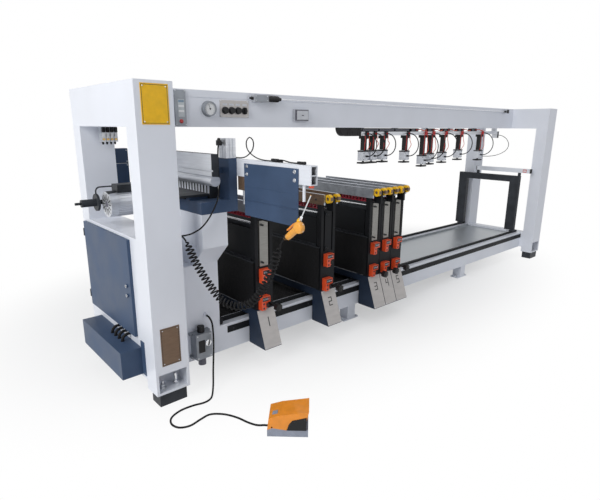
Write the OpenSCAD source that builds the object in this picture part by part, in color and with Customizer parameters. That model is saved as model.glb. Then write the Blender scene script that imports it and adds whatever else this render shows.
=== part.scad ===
// Multi-row panel boring machine: five vertical drilling units slide on a bed between two portals,
// and one horizontal unit drills from the left end. Millimetres, +Z up, +X along the machine,
// the operator stands at -Y. The origin is on the floor, midway between the four floor anchor holes.

/* [Overall] */
// Length over the two portals
machine_len = 4550; // [4450:10:4900]
// Height over the portals
machine_h = 1600; // [1590:10:1700]
// Depth over the portal posts
portal_depth = 880; // [860:10:940]

/* [Portals and beam] */
// Width of a post along the machine
post_w = 184; // [176:2:200]
// Depth of a post
post_d = 112; // [104:2:120]
// Height of the bridges and of the top beam
bridge_h = 200; // [180:5:210]
// Depth of the top beam
beam_d = 128; // [110:2:140]
// Steel wall of posts, bridges and beams
steel_t = 8; // [5:1:10]
// Height of the feet under the posts
foot_h = 70; // [60:2:80]
// Width of a foot
foot_w = 150; // [130:2:166]
// Depth of a foot
foot_d = 92; // [84:2:100]
// Bore for a floor anchor
anchor_d = 18; // [14:1:22]
// Shank of a levelling screw
screw_d = 20; // [16:1:24]
// Height of the service pocket at the base of a post
pocket_h = 100; // [80:5:120]

/* [Bed] */
// Distance from the front of the posts to the front of the bed
bed_setback = 138; // [130:2:150]
// Width of a bed beam
bed_beam_w = 110; // [96:2:124]
// Height of the underside of the bed above the floor
bed_z = 122; // [110:2:140]
// Height of a bed beam
bed_h = 161; // [150:1:175]
// Width and height of a guide rail on the bed
guide_w = 20; // [16:1:30]
// Height of the scale strip along the front of the bed
strip_h = 40; // [30:2:50]
// Width of a bed leg
leg_w = 80; // [60:2:96]
// Sheet thickness of trays, boxes and plates
sheet_t = 4; // [2:1:5]

/* [Base block] */
// Length of the block at the left end of the bed
block_len = 280; // [270:5:320]
// Height of the top of the pedestal
pedestal_top = 968; // [950:2:980]
// Length of the pedestal
pedestal_len = 150; // [140:2:170]
// Overhang of the pedestal in front of the bed
pedestal_reach = 115; // [100:5:130]

/* [Vertical units] */
// Width of a unit
unit_w = 126; // [122:1:128]
// Least distance between the centres of two units
unit_pitch = 130; // [130:1:140]
// Distance from the base block to the centre of the first unit
v1_offset = 264; // [250:2:280]
// Distance from the first to the second unit
v2_offset = 525; // [500:5:540]
// Distance from the second to the third unit
v3_offset = 474; // [460:2:500]
// Height of the faces that carry the workpiece
support_z = 992; // [980:1:1000]
// Height of a support rail
support_h = 67; // [60:1:75]
// Thickness of a support rail
support_t = 13; // [10:1:15]
// Number of spindles in a row
spindle_count = 21; // [19:1:21]
// Distance between spindles
spindle_pitch = 32; // [30:1:32]
// Diameter of a spindle chuck
chuck_d = 20; // [16:1:24]
// Diameter of a drill bit
bit_d = 8; // [5:1:10]
// Length of a drill bit outside its chuck
bit_len = 40; // [35:1:42]
// Width of a gearbox
gearbox_w = 64; // [56:1:70]
// Height of a gearbox
gearbox_h = 60; // [50:1:66]
// Diameter of a drive motor
motor_d = 100; // [90:1:110]
// Diameter of a head guide rod
rod_d = 30; // [24:1:34]
// Diameter of an infeed roller
roller_d = 54; // [48:1:58]
// Width of an infeed roller
roller_w = 24; // [18:1:25]
// Diameter of a hand knob
knob_d = 46; // [40:1:46]

/* [Horizontal unit and fence] */
// Height of the horizontal spindle axes above the support faces
h_axis_rise = 11; // [8:1:16]
// Diameter of the horizontal drive motor
h_motor_d = 130; // [110:2:140]
// Length of the fence profile
fence_len = 680; // [620:10:720]
// Height of the fence profile
fence_h = 87; // [80:1:95]
// Width of the fence profile
fence_w = 40; // [34:1:45]
// Length of the guard plate on the fence
guard_len = 420; // [380:10:450]
// Height of the guard plate
guard_h = 267; // [240:1:280]

/* [Hold-downs] */
// Length of the hold-down rail
clamp_rail_len = 2180; // [2000:20:2300]
// Height of the lowest foot at rest above the support faces
clamp_clear = 71; // [66:1:90]
// Difference in height between the lowest and the highest foot
clamp_spread = 62; // [40:2:80]
// Width, depth and height of a hold-down cylinder
clamp_body = [56, 46, 72]; // [40:1:90]
// Width, depth and height of a foot
clamp_foot = [84, 56, 12]; // [8:1:100]

/* [Cabinet] */
// Height of the top of the cabinet
cabinet_top = 875; // [860:5:900]
// Width of the door
door_w = 645; // [620:5:650]
// Height of the door
door_h = 518; // [500:2:524]
// Depth of the door pan
door_t = 16; // [12:1:20]
// Depth of the side box
side_depth = 112; // [100:2:124]
// Length of the side box
side_len = 580; // [540:10:600]
// Height of the side box
side_h = 150; // [130:2:160]

/* [Controls] */
// Width and height of the switch plate
switch_plate = [200, 96]; // [80:1:220]
// Diameter of a push button or selector
button_d = 36; // [30:1:40]
// Diameter of the pressure gauge
gauge_d = 80; // [70:1:90]
// Width of the screen housing
screen_w = 65; // [60:1:80]
// Diameter of the emergency rope
rope_d = 5; // [4:0.5:6]

/* [Pedal and air] */
// Length, width and height of the pedal base
pedal_size = [192, 120, 34]; // [30:1:220]
// Height of the pedal hood at the heel
hood_h = 132; // [120:1:140]
// Diameter of the pedal cable
cable_d = 10; // [8:1:12]
// Diameter of the coiled hose
hose_d = 8; // [6:0.5:9]
// Mean diameter of the coils
coil_d = 36; // [30:1:40]
// Number of coils
coil_count = 46; // [30:1:50]
// Diameter of the air tubes on the hold-downs
tube_d = 8; // [6:1:10]

/* [Hidden] */
$fn = 48;
// Overrun of every cut
over = 1;
// Running clearance on a radius
run_gap = 0.3;
// Gap left between parts that pass each other
pass_gap = 5;

// Portal and beam places
end_x = machine_len / 2;
in_x = end_x - post_w;
left_in = -in_x;
front_y = -portal_depth / 2;
rear_y = portal_depth / 2;
gap_y = rear_y - post_d;
beam_z = machine_h - bridge_h;
beam_front = -beam_d / 2;
anchor_x = end_x - post_w / 2 + post_w / 5;
screw_x = end_x - post_w / 2 - post_w / 5;
anchor_y = rear_y - post_d / 2;
pocket_side = 14;
pocket_sill = 12;
screw_stand = 46;
nut_d = 34;
nut_h = 16;

// Bed places
bed_front = front_y + bed_setback;
bed_rear = rear_y;
bed_top = bed_z + bed_h;
bed_left = left_in + block_len;
bed_len = in_x - bed_left;
rail_top = bed_top + guide_w;
front_guide_y = bed_front + bed_beam_w / 2;
rear_guide_y = bed_rear - bed_beam_w / 2;
strip_z = bed_z + bed_h * 0.64;
leg_shares = [0.295, 0.7025];
leg_plate_share = 1.9;
leg_plate_t = 12;
bumper_d = 50;
bumper_t = 16;
cross_w = 100;
tray_drop = 24;

// Base block places
block_h = 555;
bevel_rise = 112;
block_rear = bed_rear - bed_beam_w;
block_top = bed_z + block_h;
pedestal_x = bed_left - pedestal_len;
pedestal_front = bed_front - pedestal_reach;

// Vertical unit places
v1_x = bed_left + v1_offset;
v2_x = v1_x + v2_offset;
v3_x = v2_x + v3_offset;
v4_x = v3_x + unit_pitch;
v5_x = v4_x + unit_pitch;
half_w = unit_w / 2;
apron_gap = 8;
apron_reach = 167;
apron_top_reach = 88;
apron_top = 350;
col_w = 22;
col_d = 40;
col_reach = 83;
col_front = bed_front - col_reach;
col_back = col_front + col_d;
web_t = 10;
row_len = (spindle_count - 1) * spindle_pitch;
row_margin = 20;
gearbox_y = col_back + pass_gap;
gearbox_len = row_len + 2 * row_margin;
row_y = gearbox_y + row_margin;
chuck_h = 40;
bit_drop = 22;
bit_tip = support_z - bit_drop;
gearbox_top = bit_tip - bit_len - chuck_h;
gearbox_z = gearbox_top - gearbox_h;
stop_rod_d = 14;
motor_h = 270;
motor_y_share = 0.64;
motor_y = gearbox_y + gearbox_len * motor_y_share;
fan_h = 46;
guide_y_shares = [0.14, 0.86];
bush_wall = 8;
bush_d = rod_d + 2 * bush_wall;
bush_h = 190;
bush_roof = 8;
skirt_t = 4;
skirt_h = 184;
skirt_in = 10;
skirt_lap = 4;
feed_w = 60;
feed_h = 270;
feed_z = 615;
shelf_t = 10;
roller_reach = 36;
roller_y = col_front - roller_reach;
roller_z = support_z + 2 * run_gap - roller_d / 2;
roller_side_gap = 4;
roller_x = half_w - support_t - roller_side_gap - roller_w / 2;
roller_hub_d = 22;
roller_hub_t = 5;
axle_d = 12;
arm_w = 18;
arm_h = 62;
counter_size = [62, 35, 84];
counter_low = [-14, 2];
counter_high = [-7, 168];
counter_cut_shares = [0.5, 0.55];
dial_d = 24;
dial_t = 12;
knob_x = half_w - knob_d / 2;
knob_rise = 18;
knob_z = apron_top + knob_rise;
knob_t = 30;
knob_reach = 93;
knob_y = col_front - knob_reach;
knob_shaft_d = 12;
lobe_count = 8;
lobe_d = 7;

// Horizontal unit places
h_axis_z = support_z + h_axis_rise;
h_base_h = 62;
h_base_top = pedestal_top + h_base_h;
h_base_len = 111;
h_rail_h = 15;
h_plate_t = 12;
h_plate_z = h_base_top + h_rail_h;
h_box_w = 55;
h_box_x = pedestal_x + h_base_len + pass_gap;
h_box_rise = 65;
h_box_top = h_plate_z + h_box_rise;
h_box_drop = 18;
h_box_z = h_axis_z - h_box_drop;
h_row_margin = 12;
h_chuck_len = 45;
h_bit_len = 30;
rib_w = 20;
rib_t = 8;
h_motor_z = 1005;
h_motor_len = 240;
h_stroke = 60;
h_fan_len = 40;
h_flange_t = 15;
h_flange_x = pedestal_x - h_flange_t - h_stroke - pass_gap;
h_flange_half = 112;
fin_count = 24;
fin_t = 4;
fin_h = 7;
term_size = [120, 80, 40];
stop_y = 100;
stop_d = 24;
stop_disc_d = 92;
stop_disc_t = 12;
stop_sleeve_d = 40;
stop_sleeve_len = 75;
stop_tip_d = 14;
stop_tip_len = 30;
stop_end = 30;
lead_r = 24;
lead_in = 30;
cover_size = [40, 800, 107];
cover_bar_d = 56;
cover_bar_sink = 4;
cover_x = 36;
cover_lip = 30;
cover_z = 1165;
cover_slot = 8;

// Fence places
post_block = [49, 108, 277];
fence_post_x = h_box_x + h_box_w;
fence_post_y = pedestal_front;
fence_x = fence_post_x + post_block[0];
fence_top = pedestal_top + post_block[2] - pass_gap;
fence_end = fence_post_y + post_block[1];
fence_front = fence_end - fence_len;
fence_wall = 5;
guard_start = 80;
guard_drop = 18;
guard_front = fence_front + guard_start;
guard_top = fence_top - guard_drop;
crease_share = 0.69;
crease_t = 3;
lift_size = [60, 66, 100];
lift_groove = 6;
stop_block = [36, 60, 72];
stop_block_in = 2;
stop_pin_d = 16;
stop_pin_len = 76;
stay_d = 14;
stay_len = 78;
bolt_d = 12;
bolt_h = 6;
bolt_in = 24;

// Hold-down places
clamp_rail_h = 30;
clamp_rail_w = 60;
clamp_drop = 30;
clamp_rail_top = beam_z - clamp_drop;
clamp_rail_z = clamp_rail_top - clamp_rail_h;
clamp_end_gap = 240;
clamp_end = in_x - clamp_end_gap;
clamp_start = clamp_end - clamp_rail_len;
clamp_x_shares = [0.03, 0.075, 0.138, 0.275, 0.395, 0.45, 0.545, 0.672, 0.853];
clamp_z_shares = [1, 1, 1, 0.75, 0, 0.2, 0.3, 0.55, 0.25];
clamp_rod_d = 16;
clamp_rod_len = 10;
clamp_arm = [34, 36];
clamp_arm_plate_t = 10;
clamp_groove = 4;
hanger_size = [40, 40];
hanger_count = 6;
rail_cap = [32, 60, 70];
lead_d_share = 0.75;
chain_len = 230;
chain_links = 6;
chain_gap = 3;
chain_w = 52;
chain_r = 62;
fit_d = 14;
fit_len = 16;

// Cabinet places
cab_y = gap_y;
door_x = -end_x;
door_rear_lap = 67;
door_rear = gap_y + door_rear_lap;
door_front = door_rear - door_w;
door_drop = 17;
door_z = cabinet_top - door_drop - door_h;
frame_w = 18;
pan_t = 3;
hinge_d = 14;
hinge_len = 44;
hinge_out = 9;
hinge_y = door_rear + hinge_out;
hinge_x = door_x - door_t + hinge_d / 2 - pan_t;
hinge_shares = [0.13, 0.87];
leaf_w = 28;
lock_d = 18;
lock_t = 8;
lock_in = 44;
lock_shares = [0.42, 0.52];
rack_in = 14;
rack_t = 3;
gear_rows = 3;
gear_cols = 6;
gear_share = 0.72;
gear_d = 70;
side_z = 140;
side_y = -286;
side_flange = 40;
corr_d = 16;
corr_ribs = 3;
corr_r = 30;
corr_rise = 5;
corr_count = 4;
corr_pitch = 48;
corr_y = -150;
corr_rib = 1.5;

// Control places
screen_z_share = 0.03;
screen_t = 12;
screen_left = 194;
screen_face_shares = [0.26, 0.25, 0.6, 0.5];
gauge_left = 403;
gauge_z_share = 0.5;
gauge_t = 30;
gauge_ring = 6;
plate_left = 481;
plate_z_share = 0.28;
plate_t = 6;
button_shares = [0.16, 0.385, 0.615, 0.85];
button_z_share = 0.4;
button_t = 16;
selector_t = 14;
selector_bar = 9;
selector_base_t = 6;
rope_left = 705;
rope_rise = 170;
rope_body = [110, 36, 42];
rope_boot_d = 34;
rope_boot_len = 80;
rope_eye_d = 20;
rope_end_gap = 231;
rope_stand = 26;
rope_foot = [30, 40];
reg_left = 1037;
reg_size = [123, 22, 75];
reg_z_share = 0.2;
seam_share = 0.79;
seam_t = 3;

// Support at the right end
frame_x_gap = 91;
frame_t = 44;
frame_leg_w = 100;
frame_top = 905;
frame_bar_h = 66;
frame_front = -262;
bar_size = [40, 600, 44];
bar_y = -366;
bar_stand = 36;
bar_post = 24;
shoe_t = 10;

// Air service unit and valves
air_x = 96;
air_size = [96, 66, 150];
air_z = 150;
bowl_d = 44;
bowl_h = 56;
air_knob_d = 40;
air_knob_h = 34;
air_ear = [12, 30, 14];
gland_d = 22;
gland_len = 18;
gland_x = 94;
gland_z = 378;
valve_size = [90, 44, 84];
valve_count = 4;
valve_y = 250;
valve_rise = 6;

// Inner face of the left post that loose runs and loose pieces are placed from
home_x = -2091;
home_shift = [left_in - home_x, 0, 0];
function moved(r) = [for (p = r) p + home_shift];

// Pedal places
pedal_at = [-1948, -931, 0] + home_shift;
pedal_turn = -43;
hood_wall = 7;
hood_side_shares = [[0, 0], [0.04, 0.62], [0.34, 0.8], [1.02, 1], [0.96, 0.5], [0.57, 0.34], [0.47, 0]];
hood_in_shares = [[0.06, 0], [0.1, 0.5], [0.36, 0.68], [1.1, 0.9], [1.1, 0]];
tread_len_share = 0.84;
tread_t = 9;
tread_pin_d = 8;
tread_eye_d = 14;
tread_in = 22;
tread_rise = 14;
tread_tilt = 6;
tread_gap = 3;

// Blow gun places
gun_at = [-1765, -846, 898] + home_shift;
gun_tilt = 52;
gun_nose_turn = -22;
grip_d = 24;
grip_len = 100;
gun_body_d = 38;
gun_body_len = 40;
nozzle_d = 6;
nozzle_len = 120;
collar_d = 14;
collar_len = 22;
trigger_len = 62;
trigger_t = 6;
trigger_w = 14;
trigger_gap = 7;
trigger_pin_d = 5;
trigger_eye_d = 8;
trigger_pin_z = 92;
hook_gap = 2;
hook_size = [40, 28];
gun_axis = [0, -sin(gun_tilt), cos(gun_tilt)];
gun_mid = gun_at + grip_len * gun_axis;

// Routes of the loose runs, chosen by hand
hose_route = [[-2081, -400, 872], [-2066, -402, 868], [-2056, -425, 840], [-2041, -451, 770],
    [-2021, -479, 705],
    [-1998, -512, 642], [-1976, -542, 590], [-1955, -572, 552], [-1931, -606, 534], [-1902, -650, 532],
    [-1872, -692, 550], [-1851, -722, 586], [-1833, -748, 632], [-1815, -772, 690], [-1798, -790, 750],
    [-1783, -800, 808], [-1771, -808, 850], [-1766, -818, 874], [-1765, -834, 888]];
cable_route = [[-1905, -330, 378], [-1905, -348, 374], [-1904, -372, 350], [-1908, -388, 290],
    [-1920, -404, 200],
    [-1944, -432, 100], [-1976, -478, 30], [-2020, -530, 6], [-2070, -546, 6], [-2130, -532, 6],
        [-2200, -530, 6],
    [-2262, -556, 6], [-2286, -604, 6], [-2272, -652, 6], [-2224, -674, 6], [-2160, -662, 6],
        [-2104, -660, 8],
    [-2052, -704, 8], [-2018, -770, 8], [-2002, -840, 10], [-1986, -892, 15], [-1962, -918, 18]];
lift_tube_route = [[-1812, -380, 1322], [-1820, -382, 1322], [-1832, -394, 1318], [-1856, -424, 1286],
    [-1866, -436, 1210],
    [-1864, -438, 1120], [-1880, -440, 1040], [-1926, -440, 962], [-1976, -440, 912], [-2030, -438, 888],
        [-2064, -426, 880], [-2080, -424, 880]];
sensor_route = [[-1719, -308.7, 1204], [-1719, -296, 1204], [-1719, -287, 1216], [-1719, -287, 1236],
    [-1719, -304, 1252],
    [-1719, -350, 1246], [-1719, -430, 1246], [-1719, -480, 1258], [-1717, -526, 1290], [-1713, -530, 1330],
    [-1719, -508, 1352], [-1725, -486, 1330], [-1723, -492, 1290], [-1720, -540, 1260], [-1719, -600, 1246],
    [-1719, -680, 1244], [-1719, -760, 1252], [-1719, -820, 1245], [-1719, -880, 1244]];
end_lead_route = [[0.3, -10, -70], [30, -10, -70], [90, -30, -80], [135, -60, -115], [150, -80, -170],
    [130, -70, -225],
    [70, -45, -262], [-20, -25, -282], [-120, -8, -288], [-230, 0, -284], [-300, 0, -276], [-324, 0, -274]];

// Box between two corners
module slab(a, b) translate(a) cube(b - a);
// Cylinders along each axis, from one coordinate to another
module rod_x(yz, d, x0, x1) translate([x0, yz[0], yz[1]]) rotate([0, 90, 0]) cylinder(d = d, h = x1 - x0);
module rod_y(xz, d, y0, y1) translate([xz[0], y0, xz[1]]) rotate([-90, 0, 0]) cylinder(d = d, h = y1 - y0);
module rod_z(xy, d, z0, z1) translate([xy[0], xy[1], z0]) cylinder(d = d, h = z1 - z0);
// Profile drawn in Y and Z, extruded along X
module along_x(x0, x1) translate([x0, 0, 0]) rotate([90, 0, 90]) linear_extrude(height = x1 - x0)
    children();

// Unit vector
function unit(v) = v / norm(v);
// Direction of a path at one of its points
function heading(p, i) = unit(p[min(i + 1, len(p) - 1)] - p[max(i - 1, 0)]);
// Point on a rounded curve through the points of a route, u from 0 to 1
function spot(r, u) =
    let (n = len(r) - 1, s = min(floor(u * n), n - 1), t = u * n - s,
        a = r[max(s - 1, 0)], b = r[s], c = r[s + 1], d = r[min(s + 2, n)])
    0.5 * (2 * b + (c - a) * t + (2 * a - 5 * b + 4 * c - d) * t * t + (3 * b - a - 3 * c + d) * t * t * t);
// Lengths along a path, one for each point
function runs(p) = [for (i = 0, d = 0; i < len(p); i = i + 1,
    d = i < len(p) ? d + norm(p[i] - p[i - 1]) : d) d];
// Points at even spacing along the rounded curve of a route
function even(r, steps) =
    let (m = 12 * len(r), f = [for (i = [0:m]) spot(r, i / m)], l = runs(f),
        t = [for (i = [0:m]) [l[i], i / m]])
    [for (i = [0:steps]) spot(r, lookup(l[m] * i / steps, t))];
// Side vectors carried along a path without twist
function sides_of(p) = [for (i = 0, n = unit(cross(heading(p, 0), [0.3, 0.2, 1])); i < len(p);
    i = i + 1, n = i < len(p) ? unit(n - (n * heading(p, i)) * heading(p, i)) : n) n];
// Tube swept along a path
module sweep(p, d, n) {
    s = sides_of(p);
    pts = [for (i = [0:len(p) - 1], k = [0:n - 1])
        let (b = cross(heading(p, i), s[i]), a = 360 * k / n) p[i] + d / 2 * (cos(a) * s[i] + sin(a) * b)];
    last = len(p) - 1;
    walls = [for (i = [0:last - 1], k = [0:n - 1]) let (m = (k + 1) % n, a = i * n, b = (i + 1) * n)
        each [[a + k, b + k, b + m], [a + k, b + m, a + m]]];
    caps = [[for (k = [0:n - 1]) k], [for (k = [0:n - 1]) last * n + n - 1 - k]];
    polyhedron(points = pts, faces = concat(walls, caps));
}

// Two hollow posts and a bridge, with a service pocket at the base of each post
module portal(side) {
    x0 = side > 0 ? in_x : -end_x;
    x1 = x0 + post_w;
    difference() {
        union() {
            for (y0 = [front_y, gap_y]) slab([x0, y0, foot_h], [x1, y0 + post_d, machine_h]);
            slab([x0, front_y, beam_z], [x1, rear_y, machine_h]);
        }
        for (y0 = [front_y, gap_y])
            slab([x0 + steel_t, y0 + steel_t, foot_h + steel_t],
                [x1 - steel_t, y0 + post_d - steel_t, beam_z + steel_t + over]);
        slab([x0 + steel_t, front_y + steel_t, beam_z + steel_t],
            [x1 - steel_t, rear_y - steel_t, machine_h - steel_t]);
        for (y0 = [front_y - over, rear_y - steel_t])
            slab([x0 + pocket_side, y0, foot_h + pocket_sill],
                [x1 - pocket_side, y0 + steel_t + over, foot_h + pocket_sill + pocket_h]);
        for (y = [-anchor_y, anchor_y]) {
            rod_z([side * anchor_x, y], anchor_d, foot_h - over, foot_h + steel_t + over);
            rod_z([side * screw_x, y], screw_d + 2 * run_gap, foot_h - over, foot_h + steel_t + over);
        }
    }
}

module left_portal() { color("whitesmoke") portal(-1); }

module right_portal() { color("whitesmoke") portal(1); }

// Steel feet with a floor anchor bore, and a levelling screw with its nut in each pocket
module portal_feet() {
    color("dimgray") for (side = [-1, 1], y = [-anchor_y, anchor_y]) {
        difference() {
            slab([side * (end_x - post_w / 2) - foot_w / 2, y - foot_d / 2, 0],
                [side * (end_x - post_w / 2) + foot_w / 2, y + foot_d / 2, foot_h]);
            rod_z([side * anchor_x, y], anchor_d, -over, foot_h + over);
        }
        rod_z([side * screw_x, y], screw_d, foot_h, foot_h + steel_t + nut_h + screw_stand);
        translate([side * screw_x, y, foot_h + steel_t]) cylinder(d = nut_d, h = nut_h, $fn = 6);
    }
}

// Hollow beam between the portals, with a seam along its front cover
module top_beam() {
    color("whitesmoke") difference() {
        slab([-in_x, -beam_d / 2, beam_z], [in_x, beam_d / 2, machine_h]);
        slab([-in_x - over, steel_t - beam_d / 2, beam_z + steel_t],
            [in_x + over, beam_d / 2 - steel_t, machine_h - steel_t]);
        slab([-in_x - over, beam_front - over, beam_z + bridge_h * seam_share],
            [in_x + over, beam_front + seam_t, beam_z + bridge_h * seam_share + seam_t]);
    }
}

// Switch plate with push buttons, screen housing and air regulator on the front of the beam
module control_panel() {
    px = left_in + plate_left;
    pz = beam_z + bridge_h * plate_z_share;
    color("lightgray") {
        slab([px, beam_front - plate_t, pz], [px + switch_plate[0], beam_front, pz + switch_plate[1]]);
        for (i = [0:2])
            rod_y([px + switch_plate[0] * button_shares[i], pz + switch_plate[1] * button_z_share],
                button_d,
                beam_front - plate_t - button_t, beam_front - plate_t);
        rx = left_in + reg_left;
        rz = beam_z + bridge_h * reg_z_share;
        slab([rx, beam_front - reg_size[1], rz], [rx + reg_size[0], beam_front, rz + reg_size[2]]);
    }
    sx = left_in + screen_left;
    sz = beam_z + bridge_h * screen_z_share;
    sh = bridge_h * (1 - 2 * screen_z_share);
    color("slategray") difference() {
        slab([sx, beam_front - screen_t, sz], [sx + screen_w, beam_front, sz + sh]);
        slab([sx + screen_w * screen_face_shares[0], beam_front - screen_t - over,
            sz + sh * screen_face_shares[1]],
            [sx + screen_w * (screen_face_shares[0] + screen_face_shares[2]),
                beam_front - screen_t + seam_t,
            sz + sh * (screen_face_shares[1] + screen_face_shares[3])]);
    }
}

// Selector switch with a finger bar
module selector_knob() {
    x = left_in + plate_left + switch_plate[0] * button_shares[3];
    z = beam_z + bridge_h * plate_z_share + switch_plate[1] * button_z_share;
    y = beam_front - plate_t;
    color("black") {
        rod_y([x, z], button_d, y - selector_base_t, y);
        slab([x - selector_bar / 2, y - selector_base_t - selector_t, z - button_d / 2],
            [x + selector_bar / 2, y - selector_base_t, z + button_d / 2]);
    }
}

// Round gauge with a recessed dial
module pressure_gauge() {
    c = [left_in + gauge_left, beam_z + bridge_h * gauge_z_share];
    color("silver") difference() {
        rod_y(c, gauge_d, beam_front - gauge_t, beam_front);
        rod_y(c, gauge_d - 2 * gauge_ring, beam_front - gauge_t - over, beam_front - gauge_t + gauge_ring);
    }
}

// Pull-rope switch, its rope along the beam and the bracket at the far end
module rope_switch() {
    x = left_in + rope_left;
    z = beam_z + rope_rise;
    y = beam_front - rope_stand;
    far = in_x - rope_end_gap;
    color("dimgray") {
        slab([x, beam_front - rope_body[1], z - rope_body[2] / 2],
            [x + rope_body[0], beam_front, z + rope_body[2] / 2]);
        rod_x([y, z], rope_boot_d, x + rope_body[0], x + rope_body[0] + rope_boot_len);
        rod_x([y, z], rope_eye_d, x + rope_body[0] + rope_boot_len,
            x + rope_body[0] + rope_boot_len + rope_eye_d);
        slab([far, beam_front - rope_foot[1], z - rope_foot[0] / 2],
            [far + rope_foot[0], beam_front, z + rope_foot[0] / 2]);
    }
    color("silver") rod_x([y, z], rope_d, x + rope_body[0] + rope_boot_len + rope_eye_d, far);
}

function clamp_x(i) = clamp_start + clamp_rail_len * clamp_x_shares[i];
function clamp_foot_z(i) = support_z + clamp_clear + clamp_spread * clamp_z_shares[i];
function clamp_body_z(i) = clamp_foot_z(i) + clamp_foot[2] + clamp_rod_len;

// Grooved rail under the beam on hangers, with a valve block at its end
module clamp_rail() {
    color("gainsboro") {
        difference() {
            slab([clamp_start, -clamp_rail_w / 2, clamp_rail_z],
                [clamp_end, clamp_rail_w / 2, clamp_rail_top]);
            for (s = [-1, 1])
                slab([clamp_start - over, s * clamp_rail_w / 2 - clamp_groove,
                    clamp_rail_z + clamp_rail_h / 2 - clamp_groove],
                    [clamp_end + over, s * clamp_rail_w / 2 + clamp_groove,
                        clamp_rail_z + clamp_rail_h / 2 + clamp_groove]);
        }
        for (i = [0:hanger_count - 1])
            translate([clamp_start + (clamp_rail_len - hanger_size[0]) * i / (hanger_count - 1),
                -hanger_size[1] / 2, clamp_rail_top])
                cube([hanger_size[0], hanger_size[1], clamp_drop]);
    }
    color("black") translate([clamp_end, -rail_cap[1] / 2, clamp_rail_top - rail_cap[2]]) cube(rail_cap);
}

// Arms under the rail with square profile cylinders, grooved and bored for their rods
module clamp_cylinders() {
    color("black") for (i = [0:len(clamp_x_shares) - 1]) {
        top = clamp_body_z(i) + clamp_body[2];
        slab([clamp_x(i) - clamp_arm[0] / 2, -clamp_arm[1] / 2, top],
            [clamp_x(i) + clamp_arm[0] / 2, clamp_arm[1] / 2, clamp_rail_z]);
        slab([clamp_x(i) - clamp_body[0] / 2, -clamp_body[1] / 2, top],
            [clamp_x(i) + clamp_body[0] / 2, clamp_body[1] / 2, top + clamp_arm_plate_t]);
    }
    color("silver") for (i = [0:len(clamp_x_shares) - 1]) translate([clamp_x(i), 0, clamp_body_z(i)])
        difference() {
        translate([-clamp_body[0] / 2, -clamp_body[1] / 2, 0]) cube(clamp_body);
        for (s = [-1, 1], t = [-1, 1])
            translate([s * clamp_body[0] / 4 - clamp_groove / 2,
                t * clamp_body[1] / 2 - clamp_groove / 2, -over])
                cube([clamp_groove, clamp_groove, clamp_body[2] + 2 * over]);
        translate([0, 0, -over]) cylinder(d = clamp_rod_d + 2 * run_gap,
            h = clamp_body[2] - clamp_arm_plate_t);
    }
}

// Rods and feet of the hold-downs
module clamp_feet() {
    color("black") for (i = [0:len(clamp_x_shares) - 1]) translate([clamp_x(i), 0, clamp_foot_z(i)]) {
        translate([-clamp_foot[0] / 2, -clamp_foot[1] / 2, 0]) cube(clamp_foot);
        cylinder(d = clamp_rod_d, h = clamp_foot[2] + clamp_rod_len +
            clamp_body[2] - 2 * clamp_arm_plate_t);
    }
}

// Drag chain that leads the air tubes from the beam to the rail, with the gaps between its links
module drag_chain() {
    x0 = clamp_start - chain_len;
    step = (chain_len - chain_r) / chain_links;
    color("black") difference() {
        union() {
            slab([x0 + chain_r, -chain_w / 2, beam_z - chain_r], [clamp_start, chain_w / 2, beam_z]);
            intersection() {
                rod_y([x0 + chain_r, beam_z], 2 * chain_r, -chain_w / 2, chain_w / 2);
                slab([x0, -chain_w / 2, beam_z - chain_r], [x0 + chain_r, chain_w / 2, beam_z]);
            }
        }
        for (i = [0:chain_links - 1])
            slab([x0 + chain_r + step * (i + 0.5), -chain_w / 2 - over, beam_z - chain_r - over],
                [x0 + chain_r + step * (i + 0.5) + chain_gap, chain_w / 2 + over, beam_z - chain_r / 2]);
    }
}

// Path of the lift tube, square to the cylinder at one end and to the post at the other
lift_line = moved(lift_tube_route);
lift_first = lift_line[0];
lift_last = lift_line[len(lift_line) - 1];
lift_tube_path = concat([[fence_x - lift_size[0], lift_first[1], lift_first[2]]], even(lift_line, 40),
    [[left_in, lift_last[1], lift_last[2]]]);

// Path of the lead that loops from the end of the rail to the last hold-down
end_lead_path = even([for (p = end_lead_route) p + [clamp_end + rail_cap[0], 0, beam_z]], 40);

// Looped air tubes with their fittings on the hold-downs, and the tubes and leads clipped to the left end
module air_tubes() {
    color("black") {
        for (i = [0:len(clamp_x_shares) - 1]) {
            za = clamp_body_z(i) + clamp_body[2] / 2;
            zb = clamp_rail_z + clamp_rail_h / 2;
            r = (zb - za) / 2;
            y = -clamp_rail_w / 2 - fit_len;
            x = clamp_x(i);
            translate([x, y, za + r]) rotate([180, -90, 0]) rotate_extrude(angle = 180) translate([r, 0])
                circle(d = tube_d);
            rod_y([x, zb], fit_d, y, -clamp_rail_w / 2);
            rod_y([x, za], fit_d, y, -clamp_body[1] / 2);
        }
        sweep(lift_tube_path, tube_d, 8);
        sweep(even(moved(sensor_route), 60), tube_d * lead_d_share, 8);
        sweep(end_lead_path, tube_d * lead_d_share, 8);
    }
}

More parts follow.
